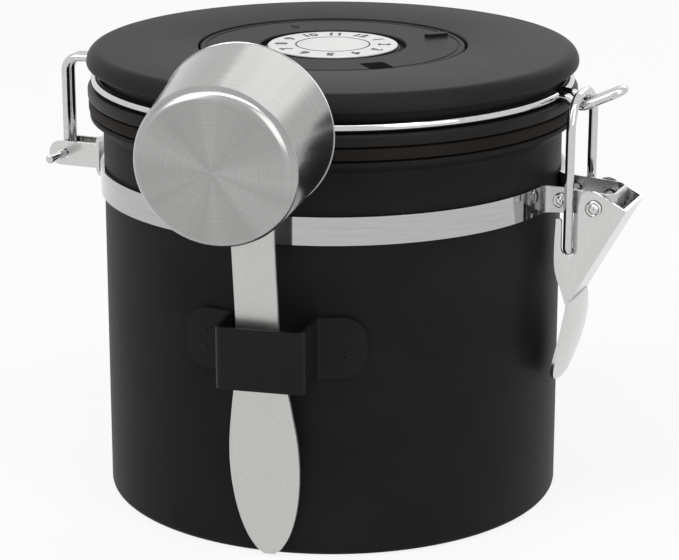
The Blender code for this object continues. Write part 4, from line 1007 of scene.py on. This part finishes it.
def make_bail():
    """One wire: hinge pin, leg, ring under the cover and nose, and back again on the other side."""
    reach = math.sqrt(RING_R ** 2 - LEG_Y ** 2)
    half = [
        (HINGE_X, -PIN_END, HINGE_Z),
        (HINGE_X, -LEG_Y, HINGE_Z),
        (HINGE_X, -LEG_Y, RING_Z - LEG_DIP),
        (-LID_R - WIRE_R, -LEG_Y, RING_Z - LEG_DIP / 2),
        (-reach, -LEG_Y, RING_Z),
    ]
    radii = [PIN_BEND, LEG_BEND, 0.0, RING_BEND]
    first = math.pi + math.asin(LEG_Y / RING_R)
    last = math.tau - math.asin(NOSE_Y / RING_R)
    for i in range(1, RING_STEPS):
        a = first + (last - first) * i / RING_STEPS
        half.append((RING_R * math.cos(a), RING_R * math.sin(a), RING_Z))
        radii.append(0.0)
    half += [
        (math.sqrt(RING_R ** 2 - NOSE_Y ** 2), -NOSE_Y, RING_Z),
        (SHOULDER_X, -NOSE_Y, RING_Z - SHOULDER_DROP),
        (SEAT_X - SEAT_RUN, -NOSE_Y, SEAT_Z),
        (SEAT_X + SEAT_RUN, -NOSE_Y, SEAT_Z),
        (TIP_X, -NOSE_Y, RING_Z + TIP_RISE),
    ]
    radii += NOSE_BENDS
    points = bent_path(with_mirror(half), radii + radii[::-1], steps=12)
    put("bail", tube_mesh("bail", points, WIRE_R), "lid", "bail_wire", "chromed_wire", wire_chrome)


def make_link():
    half = [(NOTCH_X, -STUB_END, STUB_Z), (NOTCH_X, -LINK_Y, STUB_Z), (SEAT_X, -LINK_Y, LINK_TOP)]
    points = bent_path(with_mirror(half), [STUB_BEND, LINK_BEND, LINK_BEND, STUB_BEND], steps=16)
    mesh = tube_mesh("latch_wire", points, WIRE_R)
    put("latch_wire", mesh, "link", "latch_link", "chromed_wire", wire_chrome)


def lever_lines(inset):
    """The web's top and throat, as (x, z) points a distance inside its outer face, and the way down it."""
    normal = Vector((math.cos(WEB_LEAN), -math.sin(WEB_LEAN)))
    down = Vector((-math.sin(WEB_LEAN), -math.cos(WEB_LEAN)))
    web = Vector((FULCRUM_X, FULCRUM_Z)) + normal * (WEB_PLACE - inset)
    return web - down * WEB_PLACE * math.tan(WEB_LEAN), web + down * THROAT, down


def fold_crease(side, normal, top, end):
    """Wedge that takes the sharp corner off one long fold between the web and a side plate."""
    out = Vector((0.0, side, 0.0))
    bm = bmesh.new()
    rows = []
    for along in (top, end):
        fold = Vector((along.x, side * LEVER_OUT, along.y))
        on_side = fold - normal * CREASE_SIDE
        outside = fold + (normal + out) * CREASE_SIDE
        on_web = fold - out * CREASE_WEB
        rows.append([bm.verts.new(corner) for corner in (on_side, outside, on_web)])
    join_rings(bm, rows)
    return finish_mesh("fold_crease", bm)


def lever_outline(top, throat):
    """The lever's side: web, bulging edge, prong, notch's mouth and crest, as (x, z) points."""
    left = NOTCH_X - NOTCH_R
    right = NOTCH_X + NOTCH_R
    prong_left = left - PRONG_W
    prong_top = FULCRUM_Z - PRONG_DROP
    heel = FULCRUM_X - HEEL
    heel_low = NOTCH_Z - HEEL_DROP
    ankle = throat.x - ANKLE
    side = [
        (throat.y, throat.x - THROAT_SETBACK),
        (throat.y + ANKLE_RISE, ankle),
        (heel_low, (heel + ankle) / 2 - HEEL_HOLLOW),
        ((NOTCH_Z + heel_low) / 2, heel),
        (NOTCH_Z + NOTCH_R, prong_left - PRONG_BOW),
        (prong_top - PRONG_W / 2, prong_left + PRONG_TAPER),
    ]
    outline = [tuple(top), tuple(throat)]
    outline += [(x, z) for z, x in curve_through(side, 30)[1:]]
    outline += arc((left - PRONG_W / 2, prong_top - PRONG_W / 2), PRONG_W / 2, 150.0, 0.0, steps=8)
    outline += [(left, prong_top - PRONG_W), (right, prong_top - PRONG_W), (right, FULCRUM_Z)]
    crest = bent_path(
        [
            (right, 0, FULCRUM_Z + CREST_LIFT),
            (right + CREST_RUN * CREST_START, 0, FULCRUM_Z + CREST_SIDE + CREST_LIFT),
            (FULCRUM_X, 0, FULCRUM_Z + CREST),
            (top.x, 0, top.y),
        ],
        [CREST_SIDE_BEND, CREST_BEND], steps=8,
    )
    return outline + [(point.x, point.z) for point in crest[1:-1]]


def thumb_tab(throat, down):
    """The dished tab that hangs from the web's throat, and turns in to hang upright at its tip."""
    start = throat - down * TAB_OVERLAP - Vector((math.cos(WEB_LEAN), 0.0)) * LEVER_T / 2
    path, widths, dish = [], [], []
    for share, width in curve_through(TAB_SHAPE, 34):
        bow = (start.x - TAB_TIP_X) * (1.0 - math.cos(math.radians(90.0 * share)))
        path.append((start.x - bow, 0.0, start.y - TAB_L * share))
        widths.append(TAB_HALF * width)
        dish.append(TAB_DISH * min(1.0, DISH_START + share * DISH_GROWTH) * min(1.0, width * DISH_WIDTH))
    return strip_mesh("tab", path, widths, LEVER_T, (0, 1, 0), dish=dish, columns=11)


def make_lever():
    """One pressing: a channel of two side plates on a leaning web, and the thumb tab below it."""
    top, throat, down = lever_lines(0.0)
    mesh = prism_mesh("lever_channel", lever_outline(top, throat), -LEVER_OUT, LEVER_OUT)
    in_top, in_throat, _ = lever_lines(LEVER_T)
    far = FULCRUM_X - 2 * HEEL
    inside = [tuple(in_top - down * 2 * CREST), tuple(in_throat + down * OVERCUT)]
    inside += [(far, in_throat.y - OVERCUT), (far, FULCRUM_Z + 2 * CREST)]
    notch = arc((NOTCH_X, NOTCH_Z + NOTCH_R), NOTCH_R, 180.0, 360.0, steps=24)
    notch += [(NOTCH_X + NOTCH_R, FULCRUM_Z + OVERCUT), (NOTCH_X - NOTCH_R, FULCRUM_Z + OVERCUT)]
    reach = LEVER_OUT + OVERCUT
    tab = thumb_tab(throat, down)
    outward = Vector((math.cos(WEB_LEAN), 0.0, -math.sin(WEB_LEAN)))
    high = top - down * CREASE_START
    low = throat - down * CREASE_END
    mesh = combine(mesh, [
        (prism_mesh("channel_cut", inside, -LEVER_IN, LEVER_IN), "DIFFERENCE"),
        (prism_mesh("notch_cut", notch, -reach, reach), "DIFFERENCE"),
        (cylinder_y("pivot_cut", PIVOT_R + GAP, reach, FULCRUM_X, FULCRUM_Z), "DIFFERENCE"),
        (tab, "UNION"),
        (fold_crease(-1.0, outward, high, low), "DIFFERENCE"),
        (fold_crease(1.0, outward, high, low), "DIFFERENCE"),
    ])
    lever = put("lever_channel", mesh, "lever", "latch_lever", "polished_steel", sheet_bright)
    soften(lever, PRESSED_EDGE)


# Clip and scoop

def make_clip():
    """A strap bent into a box for the scoop's handle, between two tabs welded to the body."""
    mid = BODY_R + GAP + CLIP_T / 2
    tab_x = mid * math.sin(CLIP_SPAN)
    front = -(BODY_R + CLIP_REACH - CLIP_T / 2)
    foot_angle = math.asin((CLIP_HALF + CLIP_BEND) / mid)
    half = []
    for i in range(CLIP_STEPS + 1):
        a = CLIP_SPAN + (foot_angle - CLIP_SPAN) * (i / CLIP_STEPS) ** CLIP_EASE
        half.append((mid * math.sin(a), -mid * math.cos(a), CLIP_Z))
    half += [(CLIP_HALF, -math.sqrt(mid ** 2 - CLIP_HALF ** 2), CLIP_Z), (CLIP_HALF, front, CLIP_Z)]
    radii = [0.0] * CLIP_STEPS + [CLIP_FOOT_BEND, CLIP_BEND]
    other = [(-x, y, z) for x, y, z in reversed(half)]
    path = bent_path(half + other, radii + radii[::-1])
    widths = []
    for point in path:
        inside = max(TAB_CORNER - (tab_x - abs(point.x)), 0.0)
        corner = math.sqrt(max(TAB_CORNER ** 2 - inside ** 2, 0.0))
        widths.append(CLIP_H / 2 - TAB_CORNER + corner)
    mesh = strip_mesh("scoop_strap", path, widths, CLIP_T, (0, 0, 1))
    turn = Matrix.Rotation(CLIP_TURN, 4, "Z")
    mesh.transform(turn)
    strap = put("scoop_strap", mesh, "canister", "scoop_clip", "black_powder_coat", strap_black)
    soften(strap, SHEET_EDGE)
    up = Vector((0, 0, 1))
    for side, side_name in ((-1, "left"), (1, "right")):
        a = side * WELD_A
        out = Vector((math.sin(a), -math.cos(a), 0.0))
        tilt = Matrix((up.cross(out), up, out)).transposed().to_4x4()
        for k, z in enumerate((-WELD_Z, WELD_Z)):
            mark = spin_mesh("weld_mark", WELD_SHAPE, steps=20)
            spot = out * (mid + CLIP_T / 2) + Vector((0, 0, CLIP_Z + z))
            mark.transform(Matrix.Translation(spot) @ tilt)
            mark.transform(turn)
            name = "weld_mark_%s_%d" % (side_name, k + 1)
            put(name, mark, "canister", None, "black_powder_coat", strap_black)


def make_scoop():
    """A drawn cup that faces out from the canister, on a handle that hangs in the clip."""
    tip_y = -(BODY_R + TIP_GAP + HANDLE_T / 2)
    centre = Vector((0.0, tip_y - (CUP_Z - TIP_Z) * math.tan(LEAN), CUP_Z))
    up = Vector((0.0, -math.sin(LEAN), math.cos(LEAN)))
    out = Vector((0.0, -math.cos(LEAN), -math.sin(LEAN)))
    turn = Matrix.Rotation(SCOOP_TURN, 4, "Z")
    round_x, round_z = CUP_R - CUP_ROUND, CUP_D - CUP_ROUND
    profile = [(0.0, CUP_D), (round_x - CUP_FLAT_EDGE, CUP_D)]
    profile += arc((round_x, round_z), CUP_ROUND, 90.0, 0.0, steps=14)
    profile += [(MOUTH_R + step, z) for step, z in LIP_OUTSIDE]
    profile += [(MOUTH_R - CUP_WALL + step, z) for step, z in LIP_INSIDE]
    profile += arc((round_x, round_z), CUP_ROUND - CUP_WALL, 0.0, 90.0, steps=12)
    profile += [(0.0, CUP_D - CUP_WALL)]
    mesh = spin_mesh("scoop_cup", profile, steps=128)
    tilt = Matrix((up.cross(out), up, out)).transposed().to_4x4()
    place = turn @ Matrix.Translation(centre) @ tilt
    put("scoop_cup", mesh, "scoop", "scoop_bowl", "brushed_steel", cup_steel, place=place)

    tip = centre - up * (CUP_Z - TIP_Z) / math.cos(LEAN)
    corner = centre - up * (MOUTH_R + GAP + HANDLE_T / 2)
    neck = HANDLE_HALF / LEAF_HALF
    leaf = list(LEAF_SHAPE) + [(share, neck + extra * (1 - neck)) for share, extra in TAPER_SHAPE]
    stations = curve_through(leaf, 64)
    lower = [tip + up * LEAF_L * share for share, _ in stations]
    upper = bent_path([lower[-1], corner, corner + out * WELD_L], [HANDLE_BEND])
    widths = [LEAF_HALF * width for _, width in stations] + [HANDLE_HALF] * (len(upper) - 1)
    mesh = strip_mesh("scoop_grip", lower + upper[1:], widths, HANDLE_T, (1, 0, 0), columns=3)
    mesh.transform(turn)
    handle = put("scoop_grip", mesh, "scoop", "scoop_handle", "brushed_steel", handle_steel)
    soften(handle, HANDLE_EDGE, segments=3)


make_body()
make_band()
make_rivet("tie_rivet", "band_tie_rivet", TIE_X, BAND_Z, PIVOT_R, TIE_HEAD, LUG_OUT + GAP)
make_rivet("pivot_rivet", "latch_pivot_rivet", FULCRUM_X, FULCRUM_Z, PIVOT_R, PIVOT_HEAD, LEVER_OUT + GAP)
make_bracket()
make_lid()
make_dial()
make_bail()
make_link()
make_lever()
make_clip()
make_scoop()

# Nodes that keep their own shape
for node_name, material in (
    ("dial_retainer", inner_white), ("valve_housing", inner_white), ("valve_cap", inner_white),
    ("valve_flap", silicone), ("valve_filter", mesh_steel),
):
    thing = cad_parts[node_name]
    thing.data.materials.clear()
    thing.data.materials.append(material)


# Camera, light and floor

CAMERA_A = math.radians(22.0)
CAMERA_PAN = math.radians(0.153)
CAMERA_TILT_DEGREES = 16.507
CAMERA_DISTANCE = 0.67737
CAMERA_Z = 0.2575
FOCAL_MM = 134.46
SENSOR_MM = 36.0
WHITE = (1.0, 1.0, 1.0, 1.0)
WORLD_LIGHT = 0.34
WORLD_SEEN = 1.0
FLOOR_COLOUR = (0.95, 0.95, 0.95, 1.0)
FLOOR_SEEN_SHARE = 0.86
FLOOR_HALF = 4.0
FLOOR_DROP = 0.0002
LIGHT_AIM = Vector((0.0, 0.0, 0.06))

camera_data = bpy.data.cameras.new("camera")
camera_data.lens = FOCAL_MM
camera_data.sensor_width = SENSOR_MM
camera_data.clip_start = 0.01
camera = add_object("camera", camera_data)
camera.location = (CAMERA_DISTANCE * math.sin(CAMERA_A), -CAMERA_DISTANCE * math.cos(CAMERA_A), CAMERA_Z)
camera.rotation_euler = (math.radians(90.0 - CAMERA_TILT_DEGREES), 0.0, CAMERA_A - CAMERA_PAN)
bpy.context.scene.camera = camera

for name, energy, size, place in (
    ("key", 7.5, (0.7, 0.9), (-0.75, -0.95, 1.05)),
    ("fill", 5.0, (0.8, 1.0), (1.15, -0.55, 0.65)),
    ("top", 5.5, (1.3, 0.24), (0.165, -0.40, 1.2)),
    ("back", 3.0, (1.2, 0.8), (0.1, 1.3, 0.9)),
):
    data = bpy.data.lights.new(name, "AREA")
    data.energy = energy
    data.shape = "RECTANGLE"
    data.size, data.size_y = size
    light = add_object(name, data)
    light.location = place
    light.rotation_euler = (LIGHT_AIM - Vector(place)).to_track_quat("-Z", "Y").to_euler()


def background_ray(tree):
    """1 for a ray that comes from the camera, a mirroring surface or a clear one."""
    path = add_node(tree, "ShaderNodeLightPath").outputs
    found = path["Is Camera Ray"]
    for name in ("Is Glossy Ray", "Is Transmission Ray"):
        found = add_node(tree, "ShaderNodeMath", [found, path[name]], "MAXIMUM").outputs[0]
    return found


def show_mixed(tree, share, base, seen, surface):
    """Shows seen in place of base, by the share given."""
    mix = add_node(tree, "ShaderNodeMixShader", [share, base.outputs[0], seen.outputs[0]])
    tree.links.new(mix.outputs[0], surface)


# The world lights the object softly, and is plain white where it is seen or mirrored.
world = bpy.data.worlds.new("studio")
bpy.context.scene.world = world
world.use_nodes = True
tree = world.node_tree
tree.nodes.clear()
world_out = add_node(tree, "ShaderNodeOutputWorld")
soft = add_node(tree, "ShaderNodeBackground", Color=WHITE, Strength=WORLD_LIGHT)
white = add_node(tree, "ShaderNodeBackground", Color=WHITE, Strength=WORLD_SEEN)
show_mixed(tree, background_ray(tree), soft, white, world_out.inputs["Surface"])

# The floor is nearly white where it is seen or mirrored, and the rest of it keeps the object's shadow.
floor_material = bpy.data.materials.new("floor_white")
floor_material.use_nodes = True
tree = floor_material.node_tree
shader = tree.nodes["Principled BSDF"]
shader.inputs["Base Color"].default_value = FLOOR_COLOUR
shader.inputs["Roughness"].default_value = 0.9
shader.inputs["Specular IOR Level"].default_value = 0.1
glow = add_node(tree, "ShaderNodeEmission", Color=WHITE, Strength=1.0)
share = add_node(tree, "ShaderNodeMath", [background_ray(tree)], "MULTIPLY")
share.inputs[1].default_value = FLOOR_SEEN_SHARE
show_mixed(tree, share.outputs[0], shader, glow, tree.nodes["Material Output"].inputs["Surface"])
bm = bmesh.new()
bmesh.ops.create_grid(bm, x_segments=1, y_segments=1, size=FLOOR_HALF)
floor_mesh = bpy.data.meshes.new("floor")
bm.to_mesh(floor_mesh)
bm.free()
floor_mesh.materials.append(floor_material)
floor = add_object("floor", floor_mesh)
floor.location = (0.0, 0.0, -FLOOR_DROP)

bpy.context.scene.view_settings.view_transform = "Standard"
